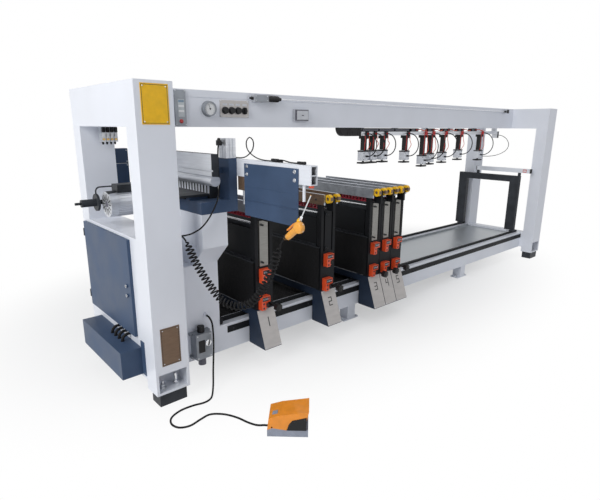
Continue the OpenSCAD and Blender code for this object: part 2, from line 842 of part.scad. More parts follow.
// Two hollow beams, the end cross member and the legs
module bed() {
    color("whitesmoke") {
        for (y = [bed_front, bed_rear - bed_beam_w]) difference() {
            slab([bed_left, y, bed_z], [in_x, y + bed_beam_w, bed_top]);
            slab([bed_left - over, y + steel_t, bed_z + steel_t],
                [in_x + over, y + bed_beam_w - steel_t, bed_top - steel_t]);
        }
        difference() {
            slab([in_x, -gap_y, bed_z], [in_x + cross_w, gap_y, bed_top]);
            slab([in_x + steel_t, -gap_y - over, bed_z + steel_t],
                [in_x + cross_w - steel_t, gap_y + over, bed_top - steel_t]);
        }
        for (s = leg_shares, y = [bed_front + bed_beam_w / 2, bed_rear - bed_beam_w / 2])
            translate([bed_left + bed_len * s, y, 0]) {
            translate([-leg_w / 2, -leg_w / 2, 0]) cube([leg_w, leg_w, bed_z]);
            translate([-leg_w * leg_plate_share / 2, -leg_w / 2, 0])
                cube([leg_w * leg_plate_share, leg_w, leg_plate_t]);
        }
    }
}

// Guide rails on both beams, the dark strip along the front and a bumper at its left end
module guide_rails() {
    color("black") {
        for (y = [front_guide_y, rear_guide_y])
            slab([bed_left, y - guide_w / 2, bed_top], [in_x, y + guide_w / 2, rail_top]);
        slab([bed_left + bumper_d, bed_front - sheet_t, strip_z], [in_x, bed_front, strip_z + strip_h]);
        rod_x([bed_front + bumper_d / 3, bed_top + bumper_d / 2], bumper_d, bed_left, bed_left + bumper_t);
    }
}

// Sheet tray between the beams, turned up at its sides
module bed_tray() {
    y0 = bed_front + bed_beam_w;
    y1 = bed_rear - bed_beam_w;
    color("silver") difference() {
        slab([bed_left, y0, bed_top - tray_drop], [in_x, y1, bed_top]);
        slab([bed_left - over, y0 + sheet_t, bed_top - tray_drop + sheet_t],
            [in_x + over, y1 - sheet_t, bed_top + over]);
    }
}

// Closed block and pedestal at the left end, with the gland of the pedal cable
module base_block() {
    side = [[bed_front, bed_z], [bed_front, block_top], [pedestal_front, block_top + bevel_rise],
        [pedestal_front, pedestal_top],
        [block_rear, pedestal_top], [block_rear, bed_z]];
    color("whitesmoke") {
        slab([left_in, bed_front, bed_z], [pedestal_x + steel_t, block_rear, block_top]);
        along_x(pedestal_x, bed_left) polygon(side);
        rod_y([bed_left - gland_x, gland_z], gland_d, bed_front - gland_len, bed_front + steel_t / 2);
    }
}

// Cabinet between the left posts, open to the left behind its door, with the fixed hinge halves
module cabinet() {
    inner = [-end_x + sheet_t, left_in - sheet_t];
    color("whitesmoke") difference() {
        slab([-end_x, -cab_y, bed_z], [left_in, cab_y, cabinet_top]);
        slab([inner[0], -cab_y + sheet_t, bed_z + sheet_t],
            [inner[1], cab_y - sheet_t, cabinet_top - sheet_t]);
        slab([-end_x - over, door_front + frame_w, door_z + frame_w],
            [inner[0] + over, cab_y - frame_w, door_z + door_h - frame_w]);
        for (i = [0:corr_count - 1]) rod_x([corr_y + corr_pitch * i, door_z - corr_d], corr_d,
            -end_x - over, inner[0] + over);
    }
    color("black") for (s = hinge_shares) {
        z = door_z + door_h * s;
        rod_z([hinge_x, hinge_y], hinge_d, z - hinge_len / 2, z);
        slab([hinge_x, hinge_y - hinge_d / 2, z - hinge_len / 2],
            [-end_x, hinge_y + hinge_d / 2, z - pan_t]);
        slab([-end_x - pan_t, hinge_y - hinge_d / 2, z - hinge_len / 2],
            [-end_x, hinge_y + leaf_w - hinge_d / 2, z + hinge_len / 2]);
    }
}

// Mounting plate inside the cabinet with rows of switchgear
module cabinet_plate() {
    x1 = left_in - sheet_t;
    w = 2 * cab_y - 6 * frame_w;
    h = door_h - 2 * frame_w;
    color("gray") {
        slab([x1 - rack_in - rack_t, -w / 2, door_z + frame_w],
            [x1 - rack_in, w / 2, door_z + frame_w + h]);
        for (y = [-w / 2 + rack_in, w / 2 - rack_in],
            z = [door_z + frame_w + rack_in, door_z + frame_w + h - rack_in])
            rod_x([y, z], rack_in, x1 - rack_in, x1);
        for (r = [0:gear_rows - 1], c = [0:gear_cols - 1])
            translate([x1 - rack_in - rack_t - gear_d, -w / 2 + w * (c + (1 - gear_share) / 2) / gear_cols,
                door_z + frame_w + h * (r + (1 - gear_share) / 2) / gear_rows])
                cube([gear_d, w * gear_share / gear_cols, h * gear_share / gear_rows]);
    }
}

// Pan door with its hinge halves and two quarter-turn locks
module cabinet_door() {
    color("slategray") difference() {
        slab([door_x - door_t, door_front, door_z], [door_x, door_rear, door_z + door_h]);
        slab([door_x - door_t + pan_t, door_front + pan_t, door_z + pan_t],
            [door_x + over, door_rear - pan_t, door_z + door_h - pan_t]);
    }
    color("black") for (s = hinge_shares) {
        z = door_z + door_h * s;
        rod_z([hinge_x, hinge_y], hinge_d, z, z + hinge_len / 2);
        slab([door_x - door_t, door_rear - pan_t, z], [hinge_x, hinge_y, z + hinge_len / 2]);
    }
    color("silver") for (s = lock_shares)
        rod_x([door_front + lock_in, door_z + door_h * s], lock_d, door_x - door_t - lock_t,
            door_x - door_t + pan_t);
}

// Junction box on the left side, open towards the cabinet, with a fixing flange in front
module side_box() {
    x0 = -end_x - side_depth;
    color("slategray") {
        difference() {
            slab([x0, side_y, side_z], [-end_x, side_y + side_len, side_z + side_h]);
            slab([x0 + pan_t, side_y + pan_t, side_z + pan_t],
                [-end_x + over, side_y + side_len - pan_t, side_z + side_h - pan_t]);
            for (i = [0:corr_count - 1])
                rod_z([-end_x - corr_r - corr_d, corr_y + corr_pitch * i], corr_d,
                    side_z + side_h - pan_t - over, side_z + side_h + over);
        }
        slab([-end_x - pan_t, side_y - side_flange, side_z],
            [-end_x, side_y + pan_t, side_z + side_h + side_flange]);
    }
}

// Corrugated conduits from the junction box into the cabinet
module side_cables() {
    z0 = side_z + side_h;
    z1 = door_z - corr_d;
    rise = z1 - corr_r - z0;
    x = -end_x - corr_r - corr_d;
    color("black") for (i = [0:corr_count - 1]) translate([0, corr_y + corr_pitch * i, 0]) {
        rod_z([x, 0], corr_d - 2 * run_gap, z0 - pan_t, z0 + rise);
        translate([x + corr_r, 0, z0 + rise]) rotate([90, 0, 0]) rotate([0, 0, 90])
            rotate_extrude(angle = 90) translate([corr_r, 0])
            circle(d = corr_d - 2 * run_gap);
        rod_x([0, z1], corr_d - 2 * run_gap, x + corr_r, -end_x + sheet_t);
        for (k = [0:corr_ribs - 1]) rod_z([x, 0], corr_d + 2 * corr_rib, z0 + rise * k / corr_ribs,
            z0 + rise * k / corr_ribs + corr_rib);
    }
}

// Base of the horizontal unit with its guide rails, and the long cover with a round bar under it above the spindles
module h_base() {
    x1 = pedestal_x + h_base_len;
    color("slategray") {
        slab([pedestal_x, pedestal_front, pedestal_top], [x1, block_rear, h_base_top]);
        slab([pedestal_x, pedestal_front, pedestal_top], [fence_post_x, fence_end - pass_gap, h_base_top]);
        for (y = [fence_end + h_rail_h, block_rear - 3 * h_rail_h])
            slab([pedestal_x, y, h_base_top], [x1, y + 2 * h_rail_h, h_plate_z]);
        slab([pedestal_x, block_rear - h_rail_h, h_base_top],
            [pedestal_x + cover_x + cover_size[0], block_rear, cover_z]);
        slab([pedestal_x + cover_x + cover_size[0], fence_end - cover_lip - h_rail_h, cover_z],
            [fence_post_x, fence_end - cover_lip, cover_z + cover_lip]);
    }
    color("silver") translate([pedestal_x + cover_x, block_rear - cover_size[1], cover_z]) difference() {
        cube(cover_size);
        translate([-over, -over, cover_lip - cover_slot])
            cube([cover_slot + over, cover_size[1] + 2 * over, cover_slot]);
        translate([fence_wall, fence_wall, cover_lip])
            cube([cover_size[0] - 2 * fence_wall, cover_size[1], cover_size[2] - cover_lip - fence_wall]);
    }
    color("silver") rod_y([pedestal_x + cover_x + cover_size[0] / 2,
        cover_z - cover_bar_d / 2 + cover_bar_sink], cover_bar_d,
        block_rear - cover_size[1], block_rear - h_rail_h / 2);
}

h_side_gap = 2;
function h_spindle_y(i) = fence_end + h_row_margin + h_side_gap + spindle_pitch * i;

// Lead from the depth stop to the terminal box: up, round to the motor, along it and into the box
module stop_lead() {
    x = -end_x - stop_end + stop_disc_t / 2;
    z = h_motor_z + h_motor_d / 2 - fin_t + term_size[2] / 2;
    xb = h_flange_x - h_motor_len + h_fan_len + fin_h + lead_in;
    rod_z([x, stop_y], tube_d, h_motor_z + stop_disc_d / 2 - fin_t, z - lead_r);
    translate([x + lead_r, stop_y, z - lead_r]) rotate([90, 0, 0]) rotate([0, 0, 90])
        rotate_extrude(angle = 90) translate([lead_r, 0]) circle(d = tube_d);
    rod_x([stop_y, z], tube_d, x + lead_r, xb - lead_r);
    translate([xb - lead_r, stop_y - lead_r, z]) rotate_extrude(angle = 90) translate([lead_r, 0])
        circle(d = tube_d);
    rod_y([xb, z], tube_d, term_size[1] / 2 - fin_t, stop_y - lead_r);
}

// Horizontal head: slide plate, ribbed gearbox, spindles with bits, finned motor and depth stop
module h_head() {
    y0 = h_spindle_y(0) - h_row_margin;
    y1 = h_spindle_y(spindle_count - 1) + h_row_margin;
    xm = h_flange_x - h_motor_len;
    color("dimgray") {
        slab([h_flange_x, fence_end + pass_gap, h_plate_z],
            [h_box_x + h_box_w, block_rear - 4 * h_rail_h, h_plate_z + h_plate_t]);
        difference() {
            slab([h_box_x, y0, h_box_z], [h_box_x + h_box_w, y1, h_box_top]);
            for (i = [0:spindle_count - 2])
                translate([h_box_x - over, h_spindle_y(i) + rib_w / 2, h_plate_z + h_plate_t])
                cube([rib_t + over, spindle_pitch - rib_w, h_box_top]);
        }
        slab([h_flange_x, stop_y - 2 * h_flange_half, h_motor_z - h_motor_d / 2 - fin_h],
            [h_flange_x + h_flange_t, stop_y + stop_d, h_plate_z + h_plate_t]);
    }
    color("silver") {
        rod_x([0, h_motor_z], h_motor_d, xm + h_fan_len, h_flange_x);
        for (k = [0:fin_count - 1]) translate([0, 0, h_motor_z]) rotate([360 * k / fin_count, 0, 0])
            translate([xm + h_fan_len, -fin_t / 2, h_motor_d / 2 - fin_t])
                cube([h_motor_len - 2 * h_fan_len, fin_t, fin_h]);
        rod_x([0, h_motor_z], h_motor_d + fin_h, xm, xm + h_fan_len);
        for (i = [0:spindle_count - 1]) {
            rod_x([h_spindle_y(i), h_axis_z], chuck_d, h_box_x + h_box_w, h_box_x + h_box_w + h_chuck_len);
            rod_x([h_spindle_y(i), h_axis_z], bit_d, h_box_x + h_box_w + h_chuck_len,
                h_box_x + h_box_w + h_chuck_len + h_bit_len);
        }
    }
    color("black") {
        translate([xm + h_fan_len + fin_h, -term_size[1] / 2, h_motor_z + h_motor_d / 2 - fin_t])
            cube(term_size);
        rod_x([stop_y, h_motor_z], stop_d, -end_x - stop_end, h_flange_x);
        rod_x([stop_y, h_motor_z], stop_disc_d, -end_x - stop_end, -end_x - stop_end + stop_disc_t);
        rod_x([stop_y, h_motor_z], stop_sleeve_d, -end_x - stop_end - stop_sleeve_len, -end_x - stop_end);
        rod_x([stop_y, h_motor_z], stop_tip_d, -end_x - stop_end - stop_sleeve_len - stop_tip_len,
            -end_x - stop_end - stop_sleeve_len);
        stop_lead();
    }
}

// Block that carries the fence, with a grooved profile cylinder on top
module fence_post() {
    color("slategray") translate([fence_post_x, fence_post_y, pedestal_top]) cube(post_block);
    color("silver") translate([fence_x - lift_size[0], fence_post_y + pass_gap,
        pedestal_top + post_block[2]]) difference() {
        cube(lift_size);
        for (t = [0, 1], s = [1, 2]) translate([lift_size[0] * s / 3 - lift_groove / 2,
            t * lift_size[1] - lift_groove / 2, -over])
            cube([lift_groove, lift_groove, lift_size[2] + 2 * over]);
        for (t = [0, 1]) translate([t * lift_size[0] - lift_groove / 2,
            lift_size[1] / 2 - lift_groove / 2, -over])
            cube([lift_groove, lift_groove, lift_size[2] + 2 * over]);
    }
}

// Hollow fence profile with a centre web, a stop cylinder and a stay rod under it
module fence() {
    color("whitesmoke") {
        translate([fence_x, fence_front, fence_top - fence_h]) difference() {
            cube([fence_w, fence_len, fence_h]);
            for (k = [0, 1]) translate([fence_wall, -over, fence_wall + k * (fence_h - fence_wall) / 2])
                cube([fence_w - 2 * fence_wall, fence_len + 2 * over, (fence_h - 3 * fence_wall) / 2]);
        }
        rod_z([fence_x + fence_w / 2, guard_front - stay_d], stay_d, fence_top - fence_h - stay_len,
            fence_top - fence_h);
    }
    y = fence_post_y - pass_gap - stop_block[1];
    z = fence_top - fence_h - stop_block[2];
    color("saddlebrown") translate([fence_x + stop_block_in, y, z]) cube(stop_block);
    color("silver") rod_z([fence_x + stop_block_in + stop_block[0] / 2, y + stop_block[1] / 2],
        stop_pin_d, z - stop_pin_len, z);
}

// Guard plate bolted to the fence, with a crease along it
module fence_guard() {
    color("slategray") {
        translate([fence_x - sheet_t, guard_front, guard_top - guard_h])
            cube([sheet_t, guard_len, guard_h]);
        translate([fence_x - sheet_t - crease_t, guard_front,
            guard_top - guard_h * crease_share - crease_t])
            cube([crease_t, guard_len, crease_t]);
        for (y = [guard_front + bolt_in, guard_front + guard_len - bolt_in], k = [0, 1])
            rod_x([y, guard_top - bolt_in * (0.6 + 1.6 * k)], bolt_d, fence_x - sheet_t - bolt_h,
                fence_x - sheet_t);
    }
}

// Frame of the blow gun: its grip runs along local Z from the hose end
module gun_frame() translate(gun_at) rotate([gun_tilt, 0, 0]) children();

// Blow gun with a hanger behind its body and a thin nozzle
module blow_gun() {
    color("gold") {
        gun_frame() {
            cylinder(d = grip_d, h = grip_len);
            translate([0, 0, grip_len]) rotate([gun_nose_turn, 0, 0]) {
                sphere(d = gun_body_d);
                cylinder(d1 = gun_body_d, d2 = collar_d, h = gun_body_len);
            }
            translate([-trigger_w / 4, grip_d / 2 - trigger_gap, trigger_pin_z])
                cube([trigger_w / 2, 2 * trigger_gap - (trigger_eye_d - trigger_t) / 2, 2 * trigger_gap]);
        }
        slab([gun_at[0] + trigger_w / 2 + hook_gap, gun_mid[1] - hook_size[0] / 4,
            gun_mid[2] - hook_size[1] / 2],
            [fence_x - sheet_t, gun_mid[1] + hook_size[0] * 3 / 4, gun_mid[2] + hook_size[1] / 2]);
    }
    color("silver") gun_frame() translate([0, 0, grip_len]) rotate([gun_nose_turn, 0, 0]) {
        cylinder(d = collar_d, h = gun_body_len + collar_len);
        cylinder(d = nozzle_d, h = gun_body_len + collar_len + nozzle_len);
    }
}

// Lever along the grip, with a round eye on its pin near the body
module gun_trigger() {
    y = grip_d / 2 + trigger_gap + run_gap;
    z = trigger_pin_z + trigger_gap - trigger_len;
    color("orangered") gun_frame() {
        translate([-trigger_w / 2, y, z]) cube([trigger_w, trigger_t, trigger_len]);
        translate([0, y + trigger_t / 2, z + trigger_len - trigger_pin_d]) rotate([0, 90, 0])
            cylinder(d = trigger_eye_d, h = trigger_w - trigger_pin_d, center = true);
    }
}

// Centre line of the coiled hose: a helix round the route that opens and closes at its ends
coil_steps = coil_count * 8;
coil_lead_share = 0.045;
function coil_swell(u) = min(1, max(0, (u - coil_lead_share) / coil_lead_share),
    max(0, (1 - coil_lead_share - u) / coil_lead_share));
coil_axis = even(moved(hose_route), coil_steps);
coil_sides = sides_of(coil_axis);
coil_path = [for (i = [0:coil_steps])
    let (u = i / coil_steps, b = cross(heading(coil_axis, i), coil_sides[i]), a = 45 * i)
    coil_axis[i] + coil_swell(u) * coil_d / 2 * (cos(a) * coil_sides[i] + sin(a) * b)];
// Least gap of the hose to itself, a turn or more away
coil_gap = min([for (i = [0:coil_steps - 6])
    min([for (j = [i + 6:coil_steps]) norm(coil_path[i] - coil_path[j])])]) - hose_d;
echo(least_gap_of_the_coiled_hose = coil_gap);

hose_start = [left_in, hose_route[0][1], hose_route[0][2]];
hose_path = concat([hose_start], coil_path, [gun_at - hose_d * gun_axis, gun_at]);
module coil_hose() { color("black") sweep(hose_path, hose_d, 6); }

// Air service unit on the base block, and the valve block under the left bridge
module air_unit() {
    x = bed_left - air_x - air_size[0];
    y = bed_front - air_size[1];
    color("gray") {
        slab([x, y, air_z], [x + air_size[0], bed_front, air_z + air_size[2]]);
        rod_z([x + air_size[0] / 2, y + air_size[1] / 2], bowl_d, air_z - bowl_h + bowl_d / 4, air_z);
        rod_z([x + air_size[0] / 2, y + air_size[1] / 2], air_knob_d, air_z + air_size[2],
            air_z + air_size[2] + air_knob_h);
    }
    color("black") for (s = [0, 1], k = [0, 1])
        translate([x - air_ear[0] + s * (air_size[0] + air_ear[0]), bed_front - air_ear[1],
            air_z + k * (air_size[2] - air_ear[2])]) cube(air_ear);
    color("silver") translate([left_in - valve_size[0] - valve_rise, valve_y, beam_z - valve_size[2]]) {
        difference() {
            cube(valve_size);
            for (k = [1:valve_count - 1]) translate([valve_size[0] * k / valve_count, -over, -over])
                cube([valve_rise / 2, valve_size[1] / 2, valve_size[2] / 2 + over]);
        }
    }
}

module pedal_frame() translate(pedal_at) rotate([0, 0, pedal_turn]) children();

function hood_points(shares) = [for (p = shares) [p[0] * pedal_size[0],
    pedal_size[2] + p[1] * (hood_h - pedal_size[2])]];

// Pedal base with its hood, open at the heel
module pedal_base() {
    color("lightgray") pedal_frame() translate([0, -pedal_size[1] / 2, 0]) cube(pedal_size);
    color("orange") pedal_frame() difference() {
        translate([0, pedal_size[1] / 2, 0]) rotate([90, 0, 0]) linear_extrude(height = pedal_size[1])
            polygon(hood_points(hood_side_shares));
        translate([0, pedal_size[1] / 2 - hood_wall, 0]) rotate([90, 0, 0])
            linear_extrude(height = pedal_size[1] - 2 * hood_wall)
            polygon(hood_points(hood_in_shares));
        translate([tread_in, 0, pedal_size[2] + tread_rise]) rotate([90, 0, 0])
            cylinder(d = tread_pin_d + 2 * run_gap, h = pedal_size[1] + 2 * over, center = true);
    }
}

// Tread under the hood, hinged near the toe
module pedal_tread() {
    w = pedal_size[1] - 2 * hood_wall - 2 * tread_gap;
    color("dimgray") pedal_frame() translate([tread_in, 0, pedal_size[2] + tread_rise]) {
        rotate([90, 0, 0]) cylinder(d = tread_eye_d, h = w, center = true);
        rotate([90, 0, 0]) cylinder(d = tread_pin_d, h = pedal_size[1] - hood_wall, center = true);
        rotate([0, -tread_tilt, 0]) translate([0, tread_gap - w / 2, -tread_t / 2])
            cube([pedal_size[0] * tread_len_share, w - 2 * tread_gap, tread_t]);
    }
}

// Pedal cable from the gland on the base block to the toe of the pedal, lying on the floor between
cable_start = [bed_left - gland_x, bed_front - gland_len, gland_z];
toe_axis = [cos(pedal_turn), sin(pedal_turn), 0];
cable_end = pedal_at + [0, 0, pedal_size[2] / 2] - run_gap * toe_axis;
cable_path = concat([cable_start],
    [for (q = even(moved(cable_route), 70)) [q[0], q[1], max(q[2], cable_d / 2 + run_gap)]],
    [cable_end - cable_d * toe_axis, cable_end]);
module pedal_cable() { color("black") sweep(cable_path, cable_d, 8); }

// Dark sliding frame at the right end with a bar that carries long workpieces
module end_support() {
    x = in_x - frame_x_gap;
    legs = [frame_front, bed_rear - frame_leg_w];
    color("slategray") {
        for (y = legs) slab([x - frame_t / 2, y, rail_top + shoe_t],
            [x + frame_t / 2, y + frame_leg_w, frame_top]);
        for (y = [front_guide_y, rear_guide_y])
            slab([x - frame_t, y - guide_w, rail_top], [x + frame_t, y + guide_w, rail_top + shoe_t]);
        slab([x - frame_t / 2, legs[0], frame_top - frame_bar_h],
            [x + frame_t / 2, legs[1] + frame_leg_w, frame_top]);
        for (y = [legs[0], bar_y + bar_size[1] - bar_post])
            slab([x - bar_post / 2, y, frame_top], [x + bar_post / 2, y + bar_post, frame_top + bar_stand]);
    }
    color("gainsboro") slab([x - bar_size[0] / 2, bar_y, frame_top + bar_stand],
        [x + bar_size[0] / 2, bar_y + bar_size[1], frame_top + bar_stand + bar_size[2]]);
}

// Carriage of a vertical unit: apron and saddle, columns, support rails, feed cylinder, roller arm and guide rods
module carriage(x) translate([x, 0, 0]) {
    apron = [[bed_front - apron_gap, bed_z], [bed_front - apron_reach, bed_z],
        [bed_front - apron_top_reach, apron_top], [bed_front - apron_gap, apron_top]];
    color("darkslategray") {
        along_x(-half_w, half_w) polygon(apron);
        slab([-half_w, bed_front - apron_gap - over, rail_top], [half_w, bed_rear, apron_top]);
    }
    color("black") difference() {
        union() {
            for (s = [-1, 1], y = [col_front, bed_rear - col_d])
                slab([s > 0 ? half_w - col_w : -half_w, y, apron_top],
                    [s > 0 ? half_w : col_w - half_w, y + col_d, support_z - support_h]);
            slab([-half_w, col_front, apron_top], [half_w, col_front + web_t, feed_z]);
            for (z = [feed_z - shelf_t, feed_z + feed_h])
                slab([-half_w, col_front, z], [half_w, col_back, z + shelf_t]);
            slab([-half_w, bed_rear - col_d, feed_z], [half_w, bed_rear - col_d + web_t, feed_z + feed_h]);
            slab([-arm_w / 2, roller_y - axle_d, feed_z + feed_h],
                [arm_w / 2, col_front + web_t, roller_z + axle_d]);
            for (s = guide_y_shares) rod_z([0, gearbox_y + gearbox_len * s], rod_d, apron_top - over,
                gearbox_z - bush_roof - pass_gap);
        }
        rod_x([roller_y, roller_z], axle_d + 2 * run_gap, -arm_w, arm_w);
    }
    color("slategray") for (s = [-1, 1])
        slab([s > 0 ? half_w - support_t : -half_w, col_front - row_margin, support_z - support_h],
            [s > 0 ? half_w : support_t - half_w, bed_rear, support_z]);
    color("silver") slab([-feed_w / 2, col_front + run_gap, feed_z],
        [feed_w / 2, col_back, feed_z + feed_h]);
}

// Head of a vertical unit: gearbox, chucks, bits, motor, guide bushes and a skirt plate beside the motor
module head(x) translate([x, 0, 0]) {
    color("dimgray") {
        slab([-gearbox_w / 2, gearbox_y, gearbox_z], [gearbox_w / 2, gearbox_y + gearbox_len, gearbox_top]);
        rod_y([-gearbox_w / 2 - stop_rod_d / 4, gearbox_z + gearbox_h * 0.6], stop_rod_d, gearbox_y,
            gearbox_y + gearbox_len);
        difference() {
            for (s = guide_y_shares) rod_z([0, gearbox_y + gearbox_len * s], bush_d, gearbox_z - bush_h,
                gearbox_z);
            for (s = guide_y_shares) rod_z([0, gearbox_y + gearbox_len * s], rod_d + 2 * run_gap,
                gearbox_z - bush_h - over, gearbox_z - bush_roof);
        }
        rod_z([0, motor_y], motor_d, gearbox_z - motor_h + fan_h, gearbox_z);
        rod_z([0, motor_y], motor_d - row_margin, gearbox_z - motor_h, gearbox_z - motor_h + fan_h);
    }
    color("black") difference() {
        slab([-motor_d / 2 - skirt_t / 2, gearbox_y + skirt_in, gearbox_z - skirt_h],
            [skirt_lap - gearbox_w / 2, gearbox_y + gearbox_len - skirt_in, gearbox_z + skirt_lap]);
        slab([-motor_d / 2 + skirt_t / 2, gearbox_y, gearbox_z - skirt_h - over],
            [gearbox_w, gearbox_y + gearbox_len, gearbox_z - skirt_lap]);
    }
    for (i = [0:spindle_count - 1]) {
        color("firebrick") rod_z([0, row_y + spindle_pitch * i], chuck_d, gearbox_top,
            gearbox_top + chuck_h);
        color("silver") rod_z([0, row_y + spindle_pitch * i], bit_d, gearbox_top + chuck_h, bit_tip);
    }
}

// Pair of infeed rollers with recessed hubs on one axle
module rollers(x) translate([x, 0, 0]) {
    color("gold") difference() {
        for (s = [-1, 1]) rod_x([roller_y, roller_z], roller_d, s * roller_x - roller_w / 2,
            s * roller_x + roller_w / 2);
        for (s = [-1, 1]) rod_x([roller_y, roller_z], roller_hub_d,
            s * (roller_x + roller_w / 2) - roller_hub_t, s * (roller_x + roller_w / 2) + roller_hub_t);
    }
    color("dimgray") rod_x([roller_y, roller_z], axle_d, -roller_x, roller_x);
}

// Position counter: a block with a stepped face and a round dial on its lower step
module counter(at) translate([at[0] - counter_size[0] / 2, col_front - counter_size[1],
    apron_top + at[1]]) {
    difference() {
        cube(counter_size);
        translate([counter_size[0] * counter_cut_shares[0], -over, -over])
            cube([counter_size[0], counter_size[1] - dial_t + over,
                counter_size[2] * counter_cut_shares[1] + over]);
    }
    rod_y([counter_size[0] * (1 + counter_cut_shares[0]) / 2,
        counter_size[2] * counter_cut_shares[1] / 2], dial_d,
        counter_size[1] - 2 * dial_t, counter_size[1] - dial_t);
}

module counters(x) translate([x, 0, 0]) color("orangered") {
    difference() {
        counter(counter_low);
        rod_y([knob_x, knob_z], knob_d, col_front - counter_size[1] - over, col_front + over);
    }
    counter(counter_high);
}

// Lobed hand knob on its shaft
module hand_knob(x) translate([x, 0, 0]) color("black") {
    difference() {
        rod_y([knob_x, knob_z], knob_d, knob_y, knob_y + knob_t);
        for (k = [0:lobe_count - 1]) translate([knob_x, 0, knob_z]) rotate([0, 360 * k / lobe_count, 0])
            rod_y([knob_d / 2, 0], lobe_d, knob_y - over, knob_y + knob_t + over);
    }
    rod_y([knob_x, knob_z], knob_shaft_d, knob_y + knob_t, col_front);
}

module v1_carriage() { carriage(v1_x); }
module v1_head() { head(v1_x); }
module v1_rollers() { rollers(v1_x); }
module v1_counters() { counters(v1_x); }
module v1_knob() { hand_knob(v1_x); }
module v2_carriage() { carriage(v2_x); }
module v2_head() { head(v2_x); }
module v2_rollers() { rollers(v2_x); }
module v2_counters() { counters(v2_x); }
module v2_knob() { hand_knob(v2_x); }
module v3_carriage() { carriage(v3_x); }
module v3_head() { head(v3_x); }
module v3_rollers() { rollers(v3_x); }
module v3_counters() { counters(v3_x); }
module v3_knob() { hand_knob(v3_x); }
module v4_carriage() { carriage(v4_x); }
module v4_head() { head(v4_x); }
module v4_rollers() { rollers(v4_x); }
module v4_counters() { counters(v4_x); }
module v4_knob() { hand_knob(v4_x); }
module v5_carriage() { carriage(v5_x); }
module v5_head() { head(v5_x); }
module v5_rollers() { rollers(v5_x); }
module v5_counters() { counters(v5_x); }
module v5_knob() { hand_knob(v5_x); }

left_portal();
right_portal();
portal_feet();
top_beam();
control_panel();
selector_knob();
pressure_gauge();
rope_switch();
clamp_rail();
clamp_cylinders();
clamp_feet();
drag_chain();
air_tubes();
bed();
guide_rails();
bed_tray();
base_block();
cabinet();
cabinet_plate();
cabinet_door();
side_box();
side_cables();
h_base();
h_head();
fence_post();
fence();
fence_guard();
blow_gun();
gun_trigger();
coil_hose();
air_unit();
pedal_base();
pedal_tread();
pedal_cable();
end_support();
v1_carriage();
v1_head();
v1_rollers();
v1_counters();
v1_knob();
v2_carriage();
v2_head();
v2_rollers();
v2_counters();
v2_knob();
v3_carriage();
v3_head();
v3_rollers();
v3_counters();
v3_knob();
v4_carriage();
v4_head();
v4_rollers();
v4_counters();
v4_knob();
v5_carriage();
v5_head();
v5_rollers();
v5_counters();
v5_knob();
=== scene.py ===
import math
import random

import bmesh
import bpy
from mathutils import Matrix, Vector


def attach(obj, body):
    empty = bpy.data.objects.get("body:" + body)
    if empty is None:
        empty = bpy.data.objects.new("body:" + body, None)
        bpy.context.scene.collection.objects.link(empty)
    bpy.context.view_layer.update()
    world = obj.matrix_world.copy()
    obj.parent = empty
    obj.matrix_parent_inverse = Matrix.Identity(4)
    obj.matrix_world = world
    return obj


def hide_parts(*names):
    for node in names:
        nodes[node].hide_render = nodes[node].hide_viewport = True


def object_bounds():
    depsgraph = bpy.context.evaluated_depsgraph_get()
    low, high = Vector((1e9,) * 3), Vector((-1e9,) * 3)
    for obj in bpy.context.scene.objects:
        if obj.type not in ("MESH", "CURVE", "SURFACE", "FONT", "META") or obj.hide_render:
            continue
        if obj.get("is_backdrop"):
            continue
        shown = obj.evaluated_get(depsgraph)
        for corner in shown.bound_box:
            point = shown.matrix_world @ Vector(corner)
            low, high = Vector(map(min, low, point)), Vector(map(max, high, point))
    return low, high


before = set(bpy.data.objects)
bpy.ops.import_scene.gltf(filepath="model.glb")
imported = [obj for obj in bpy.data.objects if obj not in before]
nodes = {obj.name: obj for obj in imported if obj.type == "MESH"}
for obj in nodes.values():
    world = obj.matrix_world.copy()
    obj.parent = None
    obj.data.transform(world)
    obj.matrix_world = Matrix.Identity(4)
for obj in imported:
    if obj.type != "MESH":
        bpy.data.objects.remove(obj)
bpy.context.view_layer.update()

random.seed(7)
scene = bpy.context.scene
scene.view_settings.view_transform = "Standard"

# Places below are in millimetres, and Blender's are in metres
MM = 0.001
MM_IN_METRE = 1000.0
RIGHT = (1, 0, 0)
LEFT = (-1, 0, 0)
FRONT = (0, -1, 0)
UP = (0, 0, 1)
DOWN = (0, 0, -1)

# Number of each drilling unit and its middle along the bed
units = ((1, -1547), (2, -1022), (3, -548), (4, -418), (5, -288))

# Camera at the photograph's angle
eye = Vector((-3144.0, -2502.1, 1404.6)) * MM
right = Vector((0.7492, -0.6624, 0.0058)).normalized()
ahead = Vector((0.6418, 0.7237, -0.2537)).normalized()
up = right.cross(ahead).normalized()
cam_data = bpy.data.cameras.new("camera")
cam_data.lens = 28.2
cam_data.sensor_width = 36.0
cam = bpy.data.objects.new("camera", cam_data)
rotation = Matrix((right, up, -ahead)).transposed()
cam.matrix_world = Matrix.Translation(eye) @ rotation.to_4x4()
scene.collection.objects.link(cam)
scene.camera = cam

# Roughness swings this much either way over a surface
gloss_swing = 0.06
# Grime is strongest at the floor and thins to a share of itself at this height, in metres
grime_top = 0.5
grime_left = 0.15
grime_tone = 0.45
relief_depth = 0.001


def noise(tree, vector, scale, detail=3.0, rough=0.5):
    node = tree.nodes.new("ShaderNodeTexNoise")
    node.inputs["Scale"].default_value = scale
    node.inputs["Detail"].default_value = detail
    node.inputs["Roughness"].default_value = rough
    tree.links.new(vector, node.inputs["Vector"])
    return node.outputs["Fac"]


